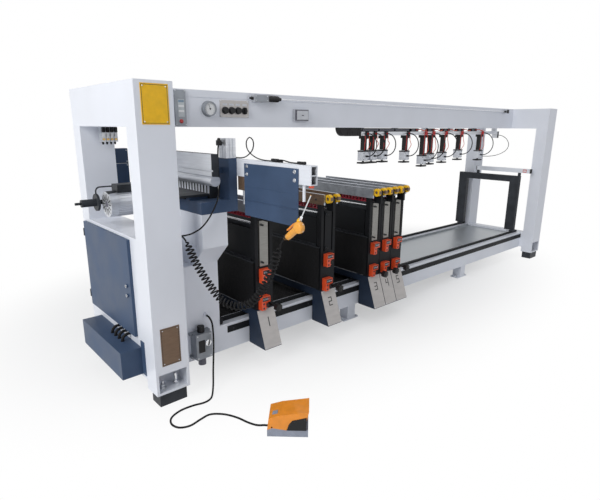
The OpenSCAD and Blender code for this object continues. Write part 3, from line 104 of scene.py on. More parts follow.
def ramp(tree, value, low, high, start=0.35, end=0.65):
    node = tree.nodes.new("ShaderNodeValToRGB")
    node.color_ramp.elements[0].position = start
    node.color_ramp.elements[1].position = end
    node.color_ramp.elements[0].color = low
    node.color_ramp.elements[1].color = high
    tree.links.new(value, node.inputs["Fac"])
    return node.outputs["Color"]


def shade(colour, k):
    return (min(colour[0] * k, 1.0), min(colour[1] * k, 1.0), min(colour[2] * k, 1.0), 1.0)


def grey(level):
    return (level, level, level, 1)


# Speckled grime over a colour, strongest near the floor
def soiled(tree, coords, place, tone, colour, scale, grime):
    spots = noise(tree, place, scale * 5.0, 6.0, 0.7)
    dirt = ramp(tree, spots, grey(0), grey(1), 0.6, 0.85)
    split = tree.nodes.new("ShaderNodeSeparateXYZ")
    tree.links.new(coords.outputs["Object"], split.inputs["Vector"])
    low = tree.nodes.new("ShaderNodeMapRange")
    low.inputs["From Min"].default_value = 0.0
    low.inputs["From Max"].default_value = grime_top
    low.inputs["To Min"].default_value = grime
    low.inputs["To Max"].default_value = grime * grime_left
    tree.links.new(split.outputs["Z"], low.inputs["Value"])
    amount = tree.nodes.new("ShaderNodeMath")
    amount.operation = "MULTIPLY"
    tree.links.new(dirt, amount.inputs[0])
    tree.links.new(low.outputs["Result"], amount.inputs[1])
    # Sockets 0, 6 and 7 of a colour mix are its factor, first and second colour, and output 2 is its colour
    mix = tree.nodes.new("ShaderNodeMix")
    mix.data_type = "RGBA"
    mix.inputs[7].default_value = shade(colour, grime_tone)
    tree.links.new(amount.outputs["Value"], mix.inputs[0])
    tree.links.new(tone, mix.inputs[6])
    return mix.outputs[2]


def material(name, colour, rough=0.5, metal=0.0, vary=0.06, scale=9.0, bump=0.08, grain=900.0,
             stretch=(1, 1, 1), coat=0.0, grime=0.0, spec=0.5):
    made = bpy.data.materials.new(name)
    made.use_nodes = True
    tree = made.node_tree
    shader = tree.nodes["Principled BSDF"]
    coords = tree.nodes.new("ShaderNodeTexCoord")
    mapping = tree.nodes.new("ShaderNodeMapping")
    mapping.inputs["Scale"].default_value = stretch
    tree.links.new(coords.outputs["Object"], mapping.inputs["Vector"])
    place = mapping.outputs["Vector"]
    broad = noise(tree, place, scale)
    tone = ramp(tree, broad, shade(colour, 1 - vary), shade(colour, 1 + vary))
    if grime:
        tone = soiled(tree, coords, place, tone, colour, scale, grime)
    tree.links.new(tone, shader.inputs["Base Color"])
    gloss = ramp(tree, broad, grey(rough - gloss_swing), grey(rough + gloss_swing))
    tree.links.new(gloss, shader.inputs["Roughness"])
    relief = tree.nodes.new("ShaderNodeBump")
    relief.inputs["Strength"].default_value = bump
    relief.inputs["Distance"].default_value = relief_depth
    tree.links.new(noise(tree, place, grain, 2.0), relief.inputs["Height"])
    tree.links.new(relief.outputs["Normal"], shader.inputs["Normal"])
    shader.inputs["Metallic"].default_value = metal
    shader.inputs["Coat Weight"].default_value = coat
    shader.inputs["Specular IOR Level"].default_value = spec
    return made


def plastic(name, colour, rough, vary, scale, bump, coat=0.0, spec=0.5):
    return material(name, colour, rough, vary=vary, scale=scale, bump=bump, grain=1500, coat=coat, spec=spec)


# Paints
white = material("white_paint", (0.80, 0.83, 0.90), 0.38, vary=0.025, scale=3.0, bump=0.05, grain=700,
                 coat=0.15, grime=0.25)
slate = material("slate_paint", (0.046, 0.078, 0.145), 0.45, vary=0.10, scale=6.0, grain=800, grime=0.2,
                 spec=0.25)
apron_paint = material("apron_paint", (0.017, 0.029, 0.055), 0.5, vary=0.12, scale=8.0, bump=0.1, grain=800,
                       spec=0.22)
black = material("black_paint", (0.007, 0.008, 0.010), 0.55, vary=0.2, bump=0.1, grain=800, spec=0.18)
head_red = material("head_red", (0.30, 0.014, 0.035), 0.4, vary=0.15, scale=20.0)
black_ink = material("black_ink", (0.018, 0.018, 0.02), 0.5, vary=0.15, scale=40.0, bump=0.03, grain=1200)

# Metals
dark_steel = material("dark_steel", (0.035, 0.039, 0.046), 0.5, 0.35, vary=0.2, scale=14.0, bump=0.15,
                      grain=500, spec=0.25)
silver = material("silver_alu", (0.62, 0.64, 0.68), 0.36, 0.75, scale=10.0, bump=0.05, grain=300,
                  stretch=(1, 1, 12))
white_alu = material("white_alu", (0.78, 0.81, 0.87), 0.34, 0.1, vary=0.03, scale=8.0, bump=0.03, grain=400,
                     stretch=(1, 0.1, 8))
steel = material("steel", (0.55, 0.57, 0.60), 0.3, 0.9, vary=0.08, scale=14.0, bump=0.05, grain=400,
                 stretch=(1, 10, 1))
rail_steel = material("rail_steel", (0.40, 0.44, 0.52), 0.32, 0.8, vary=0.08, scale=14.0, bump=0.05,
                      grain=400, stretch=(10, 1, 10))
brown = material("brown_plate", (0.17, 0.11, 0.07), 0.4, 0.3, vary=0.1, scale=30.0, bump=0.04, grain=600,
                 stretch=(1, 1, 8))
plate_grey = material("plate_grey", (0.46, 0.44, 0.43), 0.38, 0.35, vary=0.05, scale=14.0, bump=0.05,
                      grain=500, stretch=(1, 8, 1))
feed_grey = material("feed_grey", (0.27, 0.265, 0.25), 0.4, 0.5, vary=0.1, scale=16.0, grain=500,
                     stretch=(1, 1, 10))
tray_steel = material("tray_steel", (0.36, 0.385, 0.41), 0.38, 0.6, vary=0.07, scale=6.0, bump=0.06,
                      grain=300, stretch=(6, 1, 1))
cast_grey = material("cast_grey", (0.26, 0.28, 0.31), 0.45, 0.4, vary=0.12, scale=22.0, bump=0.15, grain=700)
brass = material("brass", (0.62, 0.42, 0.16), 0.3, 0.9, vary=0.08, scale=40.0, bump=0.04)
chrome = material("bright_steel", (0.70, 0.71, 0.73), 0.18, 1.0, vary=0.04, scale=40.0, bump=0.03)

# Plastics, rubber and glass
black_plastic = plastic("black_plastic", (0.009, 0.009, 0.010), 0.5, vary=0.2, scale=20.0, bump=0.12,
                        spec=0.3)
grey_plastic = plastic("grey_plastic", (0.42, 0.44, 0.48), 0.5, vary=0.06, scale=20.0, bump=0.1)
pale_plastic = plastic("pale_plastic", (0.62, 0.64, 0.68), 0.45, vary=0.05, scale=20.0, bump=0.1)
dark_plastic = plastic("dark_plastic", (0.11, 0.11, 0.14), 0.45, vary=0.1, scale=25.0, bump=0.08)
pedal_grey = plastic("pedal_grey", (0.27, 0.30, 0.37), 0.45, vary=0.07, scale=25.0, bump=0.1)
orange = plastic("orange_plastic", (0.80, 0.085, 0.022), 0.38, vary=0.07, scale=25.0, bump=0.06, coat=0.2)
amber = plastic("amber_plastic", (0.86, 0.29, 0.018), 0.36, vary=0.06, scale=25.0, bump=0.06, coat=0.2)
gun_yellow = plastic("gun_yellow", (0.90, 0.40, 0.05), 0.38, vary=0.06, scale=25.0, bump=0.06, coat=0.2)
yellow = plastic("yellow_plastic", (0.90, 0.52, 0.015), 0.42, vary=0.06, scale=25.0, bump=0.08, coat=0.1,
                 spec=0.3)
red = plastic("red_plastic", (0.60, 0.02, 0.02), 0.35, vary=0.08, scale=30.0, bump=0.05, coat=0.2)
rubber = material("black_rubber", (0.008, 0.008, 0.009), 0.65, vary=0.2, scale=60.0, bump=0.15, grain=2500,
                  spec=0.2)
dial_white = material("dial_white", (0.82, 0.83, 0.84), 0.35, vary=0.02, scale=60.0, bump=0.02, coat=0.5)
screen_pale = material("screen_pale", (0.52, 0.56, 0.58), 0.2, scale=30.0, bump=0.0, coat=0.4)
screen_blue = material("screen_blue", (0.16, 0.26, 0.36), 0.2, vary=0.08, scale=30.0, bump=0.0, coat=0.4)

finish_of = {
    "left_portal": white, "right_portal": white, "top_beam": white, "bed": white, "base_block": white,
    "cabinet": white, "portal_feet": dark_steel, "control_panel": silver, "selector_knob": black_plastic,
    "pressure_gauge": cast_grey, "rope_switch": grey_plastic, "clamp_rail": silver, "clamp_cylinders": silver,
    "clamp_feet": black_plastic, "drag_chain": black_plastic, "air_tubes": rubber, "guide_rails": black,
    "bed_tray": tray_steel, "cabinet_plate": grey_plastic, "cabinet_door": slate, "side_box": slate,
    "side_cables": rubber, "h_base": slate, "h_head": dark_steel, "fence_post": slate, "fence": white_alu,
    "fence_guard": slate, "blow_gun": gun_yellow, "gun_trigger": amber, "coil_hose": rubber,
    "air_unit": grey_plastic, "pedal_base": amber, "pedal_tread": black_plastic, "pedal_cable": rubber,
    "end_support": dark_steel,
}
for n in dict(units):
    finish_of["v%d_carriage" % n] = black
    finish_of["v%d_head" % n] = dark_steel
    finish_of["v%d_rollers" % n] = yellow
    finish_of["v%d_counters" % n] = orange
    finish_of["v%d_knob" % n] = black_plastic

for name, finish in finish_of.items():
    data = nodes[name].data
    data.materials.clear()
    data.materials.append(finish)

ANYWHERE = (-9e9, 9e9)
# A face looks a given way if its normal has at least this much of it
facing_share = 0.7


# Faces of a node whose middle lies in a box take another finish
def zone(name, finish, x=ANYWHERE, y=ANYWHERE, z=ANYWHERE, facing=None):
    data = nodes[name].data
    if finish.name not in data.materials:
        data.materials.append(finish)
    index = data.materials.find(finish.name)
    for face in data.polygons:
        c = face.center * MM_IN_METRE
        inside = x[0] <= c.x <= x[1] and y[0] <= c.y <= y[1] and z[0] <= c.z <= z[1]
        if inside and (facing is None or face.normal.dot(Vector(facing)) > facing_share):
            face.material_index = index


def link(name, mesh, finishes, body):
    for finish in finishes:
        mesh.materials.append(finish)
    made = bpy.data.objects.new(name, mesh)
    scene.collection.objects.link(made)
    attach(made, body)
    return made


# Point of a smooth curve through the route, at a share of it
def spot(route, share):
    last = len(route) - 1
    s = min(int(share * last), last - 1)
    t = share * last - s
    a, b, c, d = route[max(s - 1, 0)], route[s], route[s + 1], route[min(s + 2, last)]
    square = 2 * a - 5 * b + 4 * c - d
    cube = 3 * b - a - 3 * c + d
    return 0.5 * (2 * b + (c - a) * t + square * t * t + cube * t * t * t)


# Points along the route at even distances
def even(route, steps):
    route = [Vector(p) for p in route]
    fine = 12 * len(route)
    points = [spot(route, i / fine) for i in range(fine + 1)]
    runs = [0.0]
    for i in range(fine):
        runs.append(runs[-1] + (points[i + 1] - points[i]).length)
    out = []
    k = 0
    for i in range(steps + 1):
        want = runs[-1] * i / steps
        while k < fine - 1 and runs[k + 1] < want:
            k += 1
        share = (want - runs[k]) / max(runs[k + 1] - runs[k], 1e-9)
        out.append(spot(route, (k + share) / fine))
    return out


def heading(path, i):
    return (path[min(i + 1, len(path) - 1)] - path[max(i - 1, 0)]).normalized()


# Directions square to the path, carried along it without twist
def sides_of(path):
    n = heading(path, 0).cross(Vector((0.3, 0.2, 1.0))).normalized()
    out = []
    for i in range(len(path)):
        h = heading(path, i)
        n = (n - n.dot(h) * h).normalized()
        out.append(n)
    return out


def tube_mesh(name, path, diameter, sides):
    mesh = bpy.data.meshes.new(name)
    frames = sides_of(path)
    verts, faces = [], []
    for i, p in enumerate(path):
        b = heading(path, i).cross(frames[i])
        for k in range(sides):
            a = 2 * math.pi * k / sides
            verts.append((p + diameter / 2 * (math.cos(a) * frames[i] + math.sin(a) * b)) * MM)
    for i in range(len(path) - 1):
        for k in range(sides):
            m = (k + 1) % sides
            faces.append((i * sides + k, i * sides + m, (i + 1) * sides + m, (i + 1) * sides + k))
    faces.append(tuple(reversed(range(sides))))
    faces.append(tuple(range((len(path) - 1) * sides, len(path) * sides)))
    mesh.from_pydata(verts, [], faces)
    for face in mesh.polygons:
        face.use_smooth = len(face.vertices) == 4
    mesh.update()
    return mesh


# Cable from the base block over the floor to the pedal
cable_route = [(-1905, -330, 378), (-1905, -348, 374), (-1904, -372, 350), (-1908, -388, 290),
               (-1920, -404, 200), (-1944, -432, 100), (-1976, -478, 30), (-2020, -530, 6), (-2070, -546, 6),
               (-2130, -532, 6), (-2200, -530, 6), (-2262, -556, 6), (-2286, -604, 6), (-2272, -652, 6),
               (-2224, -674, 6), (-2160, -662, 6), (-2104, -660, 8), (-2052, -704, 8), (-2018, -770, 8),
               (-2002, -840, 10), (-1986, -892, 15), (-1962, -918, 18)]
cable_low = 5.3
toe = Vector((-1948, -931, 17))
toe_turn = math.radians(-43)
toe_axis = Vector((math.cos(toe_turn), math.sin(toe_turn), 0))
cable_path = [Vector((-1905, -320, 378))]
for p in even(cable_route, 120):
    cable_path.append(Vector((p.x, p.y, max(p.z, cable_low))))
cable_path += [toe - 10 * toe_axis, toe - 0.3 * toe_axis]
cable = link("pedal_lead", tube_mesh("pedal_lead", cable_path, 10.0, 14), [rubber], "frame")
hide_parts("pedal_cable")

# Coiled hose from the left post to the blow gun
hose_route = [(-2081, -400, 872), (-2066, -402, 868), (-2056, -425, 840), (-2041, -451, 770),
              (-2021, -479, 705), (-1998, -512, 642), (-1976, -542, 590), (-1955, -572, 552),
              (-1931, -606, 534), (-1902, -650, 532), (-1872, -692, 550), (-1851, -722, 586),
              (-1833, -748, 632), (-1815, -772, 690), (-1798, -790, 750), (-1783, -800, 808),
              (-1771, -808, 850), (-1766, -818, 874), (-1765, -834, 888)]
gun_at = Vector((-1765, -846, 898))
gun_tilt = math.radians(52)
gun_axis = Vector((0, -math.sin(gun_tilt), math.cos(gun_tilt)))
coil_turns = 46
coil_steps = coil_turns * 16
coil_radius = 18.0
# Shares of the route where the turns begin and end, and over which they open
coil_start = 0.045
coil_end = 0.955
coil_opening = 0.045
coil_axis = even(hose_route, coil_steps)
coil_sides = sides_of(coil_axis)
hose_path = [Vector((-2091, -400, 872))]
for i, p in enumerate(coil_axis):
    u = i / coil_steps
    swell = min(1.0, max(0.0, (u - coil_start) / coil_opening), max(0.0, (coil_end - u) / coil_opening))
    b = heading(coil_axis, i).cross(coil_sides[i])
    a = 2 * math.pi * coil_turns * u
    hose_path.append(p + swell * coil_radius * (math.cos(a) * coil_sides[i] + math.sin(a) * b))
hose_path += [gun_at - 8 * gun_axis, gun_at]
hose = link("spiral_hose", tube_mesh("spiral_hose", hose_path, 8.0, 10), [rubber], "frame")
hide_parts("coil_hose")

# Finishes of nodes made of more than one material
for n, vx in units:
    carriage = "v%d_carriage" % n
    head = "v%d_head" % n
    zone(carriage, apron_paint, z=(120, 351))
    zone(carriage, rail_steel, z=(924, 993))
    for way in (LEFT, RIGHT):
        zone(carriage, brown if n == 2 else cast_grey, z=(924, 990), facing=way)
    zone(carriage, black, x=(vx - 12, vx + 12), y=(-440, -386), z=(880, 980))
    zone(carriage, black if n == 2 else feed_grey, x=(vx - 31, vx + 31), y=(-386, -344), z=(616, 884))
    zone(carriage, chrome, x=(vx - 16, vx + 16), y=(-262, 262), z=(352, 820))
    zone(head, black, x=(vx - 53, vx - 27), y=(-331, 331), z=(645, 834.6))
    zone(head, head_red, z=(890, 931))
    zone(head, chrome, z=(930.5, 975))
    zone(head, chrome, x=(vx - 44, vx - 32.3), z=(852, 882))
    zone("v%d_rollers" % n, brown, x=(vx - 43, vx + 43), z=(954, 977))
for z in (407, 791):
    zone("cabinet", black_plastic, x=(-2310, -2275.1), y=(396, 450), z=(z - 23, z + 23))
    zone("cabinet_door", black_plastic, y=(396.5, 412), z=(z - 1, z + 23))
zone("h_base", silver, x=(-1926, -1884), z=(1164.5, 1273))
zone("h_base", silver, x=(-1934, -1876), y=(-471, 320), z=(1112, 1166))
zone("h_base", dark_steel, x=(-1926, -1884), z=(1271, 1273))
zone("h_base", dark_steel, y=(-471, -469.5), z=(1160, 1273))
zone("h_head", white_alu, x=(-1846, -1844), z=(1057.5, 1111))
zone("h_head", silver, x=(-2282, -2041.5), y=(-75, 75), z=(930, 1064))
zone("h_head", chrome, x=(-1790, -1700))
zone("h_head", head_red, x=(-1790, -1744.5))
zone("fence", brown, y=(-483, -421), z=(1080, 1152.9))
zone("fence", steel, y=(-483, -421), z=(1003, 1079.5))
for way in (RIGHT, LEFT, UP, DOWN):
    zone("fence", black, x=(-1739, -1707), z=(1157, 1236), facing=way)
zone("fence_post", silver, z=(1245.5, 1350))
zone("fence_guard", chrome, x=(-1751.5, -1745.2), z=(1160, 1215))
zone("clamp_rail", black_plastic, x=(1851.5, 1884))
zone("air_tubes", red, y=(-47, -29.5), z=(1346, 1364))
zone("air_unit", cast_grey, x=(-2020, -1880), z=(104, 340))
zone("air_unit", black_plastic, x=(-2020, -1880), z=(300.5, 340))
zone("air_unit", dark_plastic, x=(-2020, -1880), z=(104, 149.5))
zone("air_unit", silver, z=(1300, 1410))
zone("blow_gun", chrome, y=(-1010, -950))
zone("pedal_base", pedal_grey, z=(-1, 34.2))
zone("control_panel", cast_grey, x=(-1899, -1830))
zone("control_panel", grey_plastic, x=(-1056, -929))
zone("control_panel", plate_grey, x=(-1615, -1405))
zone("control_panel", black_plastic, x=(-1600, -1465), y=(-87, -70.5))
zone("rope_switch", chrome, x=(-1170, 1859))
zone("rope_switch", black_plastic, x=(-1276, -1175))
zone("end_support", white_alu, z=(940.5, 990))
zone("portal_feet", chrome, z=(79, 150))


# Bevelled boxes, prisms and turned forms gathered into one named mesh
class Piece:
    def __init__(self, name, body="frame"):
        self.name = name
        self.body = body
        self.verts = []
        self.faces = []
        self.marks = []
        self.finishes = []

    def take(self, bm, finish, smooth, place):
        if finish not in self.finishes:
            self.finishes.append(finish)
        start = len(self.verts)
        bm.verts.index_update()
        for v in bm.verts:
            at = place @ v.co if place is not None else v.co
            self.verts.append(at * MM)
        for f in bm.faces:
            self.faces.append(tuple(start + v.index for v in f.verts))
            self.marks.append((self.finishes.index(finish), smooth and len(f.verts) == 4))
        bm.free()

    def box(self, a, b, finish, cut=1.0, place=None):
        bm = bmesh.new()
        bmesh.ops.create_cube(bm, size=1.0)
        for v in bm.verts:
            v.co = Vector([(a[k] + b[k]) / 2 + v.co[k] * (b[k] - a[k]) for k in range(3)])
        bmesh.ops.bevel(bm, geom=list(bm.edges), offset=cut, segments=2, profile=0.5, affect="EDGES")
        self.take(bm, finish, False, place)

    def turned(self, start, axis, profile, finish, sides=24, place=None):
        axis = Vector(axis).normalized()
        side = axis.orthogonal().normalized()
        other = axis.cross(side)
        bm = bmesh.new()
        rings = []
        for along, radius in profile:
            ring = []
            for k in range(sides):
                a = 2 * math.pi * k / sides
                out = math.cos(a) * side + math.sin(a) * other
                ring.append(bm.verts.new(Vector(start) + axis * along + out * radius))
            rings.append(ring)
        for low_ring, high_ring in zip(rings, rings[1:]):
            for k in range(sides):
                m = (k + 1) % sides
                bm.faces.new((low_ring[k], low_ring[m], high_ring[m], high_ring[k]))
        bm.faces.new(list(reversed(rings[0])))
        bm.faces.new(rings[-1])
        self.take(bm, finish, sides > 8, place)

    def rod(self, start, end, d, finish, sides=20, cut=0.6):
        run = Vector(end) - Vector(start)
        far = run.length
        r = d / 2
        self.turned(start, run, [(0, r - cut), (cut, r), (far - cut, r), (far, r - cut)], finish, sides)

    def bolt(self, at, axis, d, finish, high):
        r = d / 2
        washer = [(-0.5, r * 1.5), (0.8, r * 1.5), (0.8, r)]
        cap = [(high - 0.6, r), (high, r - 0.6), (high, r * 0.5), (high * 0.5, r * 0.45)]
        self.turned(at, axis, washer + cap, finish, 16)

    # Steel bolts that face the front, at each of the given places across and up
    def front_bolts(self, xs, y, zs, d, high):
        for x in xs:
            for z in zs:
                self.bolt((x, y, z), FRONT, d, steel, high)

    def prism(self, outline, low, high, finish, place):
        bm = bmesh.new()
        rings = [[bm.verts.new((x, y, z)) for x, y in outline] for z in (low, high)]
        for k in range(len(outline)):
            m = (k + 1) % len(outline)
            bm.faces.new((rings[0][k], rings[0][m], rings[1][m], rings[1][k]))
        bm.faces.new(list(reversed(rings[0])))
        bm.faces.new(rings[1])
        self.take(bm, finish, False, place)

    def done(self):
        mesh = bpy.data.meshes.new(self.name)
        mesh.from_pydata(self.verts, [], self.faces)
        for face, (slot, smooth) in zip(mesh.polygons, self.marks):
            face.material_index = slot
            face.use_smooth = smooth
        mesh.update()
        return link(self.name, mesh, self.finishes, self.body)


def frame_at(origin, across, up):
    across = Vector(across).normalized()
    up = Vector(up).normalized()
    out = across.cross(up)
    m = Matrix((across, up, out)).transposed().to_4x4()
    m.translation = Vector(origin)
    return m


def tube(name, route, steps, diameter, finish):
    link(name, tube_mesh(name, even(route, steps), diameter, 10), [finish], "frame")


# Seven strokes of a figure, each as two corners in units, and the strokes of each figure
strokes = {"a": (0, 8, 5, 9), "b": (4, 4, 5, 9), "c": (4, 0, 5, 5), "d": (0, 0, 5, 1), "e": (0, 0, 1, 5),
           "f": (0, 4, 1, 9), "g": (0, 4, 5, 5)}
figures = ("abcdef", "bc", "abged", "abgcd", "fgbc", "afgcd", "afgedc", "abc", "abcdefg", "abcdfg")


def digit(piece, number, place, at, unit, finish, thick=0.5):
    for key in figures[number]:
        x0, y0, x1, y1 = [v * unit for v in strokes[key]]
        piece.box((at[0] + x0, at[1] + y0, -0.2), (at[0] + x1, at[1] + y1, thick), finish, 0.12, place)


dial_profile = [(-0.5, 12.4), (3, 12.4), (5, 11), (5, 6), (14, 5.5), (15, 4.5)]
cap_profile = [(-0.4, 15), (0.8, 15), (1.6, 13.5), (1.6, 6), (3.2, 5.5), (3.6, 4)]
fitting_profile = [(-0.6, 7), (6, 7), (6, 5.2), (14, 5.2), (15, 4.4)]
collar_profile = [(-0.6, 5.8), (5, 5.8), (5.6, 5.2)]
counter_front = -419.8
plate_thick = 2.0
for n, vx in units:
    # Number plate over the sloping front of the apron
    plate = Piece("number_plate_%d" % n, "v%d" % n)
    slope = frame_at((vx, -469, 122), RIGHT, (0, 79, 228))
    plate.box((-62, 3, -0.3), (62, 238, plate_thick), plate_grey, 0.6, slope)
    on_plate = slope @ Matrix.Translation((0, 0, plate_thick))
    digit(plate, n, on_plate, (-15 if n != 1 else -24, 130), 6.5, black_ink)
    for x in (-54, 54):
        for y in (11, 230):
            plate.bolt(slope @ Vector((x, y, plate_thick)), slope.to_3x3() @ Vector(UP), 5, steel, 2.2)
    plate.done()

    # Counter windows, figures, screws and dials
    face = Piece("counter_faces_%d" % n, "v%d" % n)
    for x0, z0 in ((vx - 45, 352), (vx - 38, 518)):
        face.box((x0 + 5, -421.2, z0 + 55), (x0 + 57, -419.5, z0 + 79), black_plastic, 0.8)
        for k in range(5):
            wheel = x0 + 9 + 9 * k
            wheel_finish = dark_plastic if k < 4 else red
            face.box((wheel, -421.8, z0 + 60), (wheel + 7.5, -420.9, z0 + 74), wheel_finish, 0.4)
            on_wheel = frame_at((wheel + 1.5, -421.8, z0 + 62.5), RIGHT, UP)
            digit(face, random.randint(0, 9), on_wheel, (0, 0), 0.95, dial_white, 0.25)
        for z in (z0 + 12, z0 + 40):
            face.bolt((x0 + 15, counter_front, z), FRONT, 8, dark_steel, 4)
        face.turned((x0 + 46.5, -409.0, z0 + 23.1), FRONT, dial_profile, black_plastic)
    face.done()

    # Knob cap
    cap = Piece("knob_cap_%d" % n, "v%d_knob" % n)
    cap.turned((vx + 40, -477.8, 368), FRONT, cap_profile, black_plastic, 28)
    cap.done()

    # Bolts of the first two units' support rails, and air fittings of the feed cylinder
    trim = Piece("unit_trim_%d" % n, "v%d" % n)
    if n in (1, 2):
        for y in (-330, -150, 30, 210, 390):
            for s in (-1, 1):
                trim.bolt((vx + s * 63, y, 955), (s, 0, 0), 10, dark_steel, 4)
    for z in (640, 862):
        trim.turned((vx - 18, -384.6, z), FRONT, fitting_profile, dark_steel, 18)
        trim.turned((vx - 18, -399, z), FRONT, collar_profile, black_plastic, 18)
    trim.done()

# Rubber strip curtain under the skirt plate of each head, on an outer bar where the next unit leaves room.
# The dark strips also stand in for the shade in the gaps under the heads, closing off the bright floor behind
curtain_end = 328
strip_pitch = 16
strip_width = 15.4
for n, vx in units:
    roomy = n < 4
    out, foot = (73.0, 360) if roomy else (54.8, 566)
    curtain_and_shade = Piece("head_curtain_and_shade_%d" % n, "v%d_head" % n)
    curtain_and_shade.box((vx - 55.5, -curtain_end, 642), (vx - 51.7, curtain_end, 660), dark_steel, 0.8)
    if roomy:
        curtain_and_shade.box((vx - 74, -376, 641), (vx - 54, curtain_end, 647), dark_steel, 0.8)
    for k in range(-3 if roomy else 0, 41):
        y = -curtain_end + strip_pitch * k
        curtain_and_shade.box((vx - out, y, foot), (vx - out + 2.4, y + strip_width, 646), rubber, 0.6)
    for y in (-310, -105, 105, 310):
        curtain_and_shade.bolt((vx - 55.3, y, 653), LEFT, 7, dark_steel, 2.6)
    curtain_and_shade.done()

# Pressure gauge: dial, ticks, needle, hub and ring
gauge_x = -1688
gauge_z = 1500
needle_angle = 1.9


def round_gauge(y, angle):
    return frame_at((gauge_x, y, gauge_z), (math.cos(angle), 0, math.sin(angle)),
                    (-math.sin(angle), 0, math.cos(angle)))


gauge = Piece("gauge_dial")
gauge.turned((gauge_x, -87.6, gauge_z), FRONT, [(-0.4, 33.6), (0.6, 33.6), (0.7, 33.0)], dial_white, 48)
for k in range(28):
    tick = 7 if k % 5 == 0 else 4
    tick_place = round_gauge(-88.4, math.radians(225 - 270 * k / 27))
    gauge.box((30 - tick, -0.5, -0.3), (30.5, 0.5, 0.3), black_ink, 0.1, tick_place)
gauge.box((-8, -0.9, -0.4), (25, 0.9, 0.4), black_ink, 0.2, round_gauge(-89.4, needle_angle))
gauge.turned((gauge_x, -88.2, gauge_z), FRONT, [(0, 4.5), (2.2, 4.5), (2.8, 3.5)], black_plastic)
gauge.turned((gauge_x, -64.5, gauge_z), FRONT, [(0, 44), (3, 44), (4, 42), (4, 40.2)], cast_grey, 48)
gauge.done()

# Switch plate: screws, rings, bare legend strips and caps of the three buttons
panel_front = -69.8
switch_z = 1494.4
button_xs = (-1578, -1533, -1487)
selector_x = -1440
button_cap = [(-0.4, 16.5), (0.6, 16.5), (1.4, 15.5), (1.4, 13.5), (0.4, 12.5)]
switches = Piece("switch_trim")
switches.front_bolts((-1604, -1416), panel_front, (1462, 1546), 6, 2.4)
for x in button_xs + (selector_x,):
    ring = [(-0.3, 21), (2.2, 21), (2.8, 20.2), (2.8, 18.4)]
    switches.turned((x, panel_front, switch_z), FRONT, ring, dark_steel, 36)
    switches.box((x - 16, -70.6, 1522), (x + 16, -69.6, 1534), pale_plastic, 0.3)
for x in button_xs:
    switches.turned((x, -85.8, switch_z), FRONT, button_cap, black_plastic, 36)
switches.done()

# Screen face, its red stop button and screws
screen = Piece("screen_face")
screen.box((-1880.5, -74.6, 1453), (-1840.5, -72.8, 1547), screen_pale, 0.6)
for k in range(3):
    row_finish = screen_blue if k == 0 else dial_white
    screen.box((-1877, -75.4, 1530 - 26 * k), (-1844, -74.4, 1541 - 26 * k), row_finish, 0.3)
screen.turned((-1864, -75.8, 1430), FRONT, [(-0.4, 11), (2, 11), (2, 9), (7, 8.6), (8.6, 7.2)], red, 28)
screen.front_bolts((-1892, -1837), -75.8, (1411, 1589), 5, 2.2)
screen.done()

# Small grey box on the beam: framed lid
lid = Piece("grey_box_lid")
lid.box((-1050, -88.4, 1444), (-935, -85.6, 1511), dark_plastic, 1.2)
lid.box((-1036, -91.0, 1449), (-938, -88.0, 1506), pale_plastic, 1.4)
lid.box((-996, -92.2, 1474), (-978, -90.8, 1480), dark_plastic, 0.5)
lid.done()

# Rope switch: lid, screws, boot rings, cable gland and the anchor at the rope's far end
rope_y = -90
rope_z = 1570
rope = Piece("rope_switch_trim")
rope.box((-1380, -101.6, 1553), (-1282, -99.6, 1587), cast_grey)
rope.front_bolts((-1374, -1288), -101.4, (1558, 1582), 5, 2.0)
for k in range(6):
    boot = [(0, 16.8), (1.5, 18.8), (5, 18.8), (6.5, 16.8)]
    rope.turned((-1272 + 13 * k, rope_y, rope_z), RIGHT, boot, black_plastic, 28)
rope.turned((-1386.4, -84, rope_z), LEFT, [(-0.5, 9), (12, 9), (12, 7), (18, 6.6), (24, 5)], black_plastic)
rope.rod((1836, rope_y, rope_z), (1864, rope_y, rope_z), 16, black_plastic)
rope.box((1856, -110, 1552), (1894, -103.5, 1588), black_plastic, 1.5)
rope.done()

# Bare plates on the left post, with a printed border
for name, x0, x1, z0, z1, finish in (("yellow_plate", -2247, -2115, 1410, 1586, yellow),
                                     ("brown_plate", -2238, -2134, 226, 430, brown)):
    label = Piece(name)
    label.box((x0, -441.6, z0), (x1, -439.8, z1), finish, 0.6)
    for left, low, end, top in ((x0 + 5, z0 + 5, x1 - 5, z0 + 7), (x0 + 5, z1 - 7, x1 - 5, z1 - 5),
                                (x0 + 5, z0 + 5, x0 + 7, z1 - 5), (x1 - 7, z0 + 5, x1 - 5, z1 - 5)):
        label.box((left, -442.1, low), (end, -441.4, top), black_ink, 0.2)
    label.front_bolts((x0 + 12, x1 - 12), -441.4, (z0 + 12, z1 - 12), 4, 1.8)
    label.done()

# Door locks: keyed inserts
door_foot = 340
door_height = 518
insert = [(-0.4, 8.4), (0.8, 8.4), (1.2, 7.6), (1.2, 5.2), (0.2, 5.0)]
locks = Piece("door_lock_inserts", "cabinet_door")
for share in (0.42, 0.52):
    z = door_foot + door_height * share
    locks.turned((-2298.8, -206, z), LEFT, insert, chrome)
    locks.box((-2300.4, -207.2, z - 4.2), (-2299.2, -204.8, z + 4.2), black_ink, 0.3)
locks.done()

# Fan cover of the horizontal unit's motor: slots drawn as black strips, which paint the shade inside the
# cover and the dark fan behind it, and hub cap
fan_at = (-2281, 0, 1005)
fan_count = 14
fan = Piece("fan_slots", "h_head")
for k in range(fan_count):
    a = 2 * math.pi * k / fan_count
    slot_place = frame_at(fan_at, (0, math.cos(a), math.sin(a)), (0, math.sin(a), -math.cos(a)))
    fan.box((24, -2.6, -0.4), (58, 2.6, 0.8), black_plastic, 0.3, slot_place)
fan.turned(fan_at, LEFT, [(-0.4, 16), (1.2, 16), (2.2, 14)], dark_plastic, 28)
fan.done()

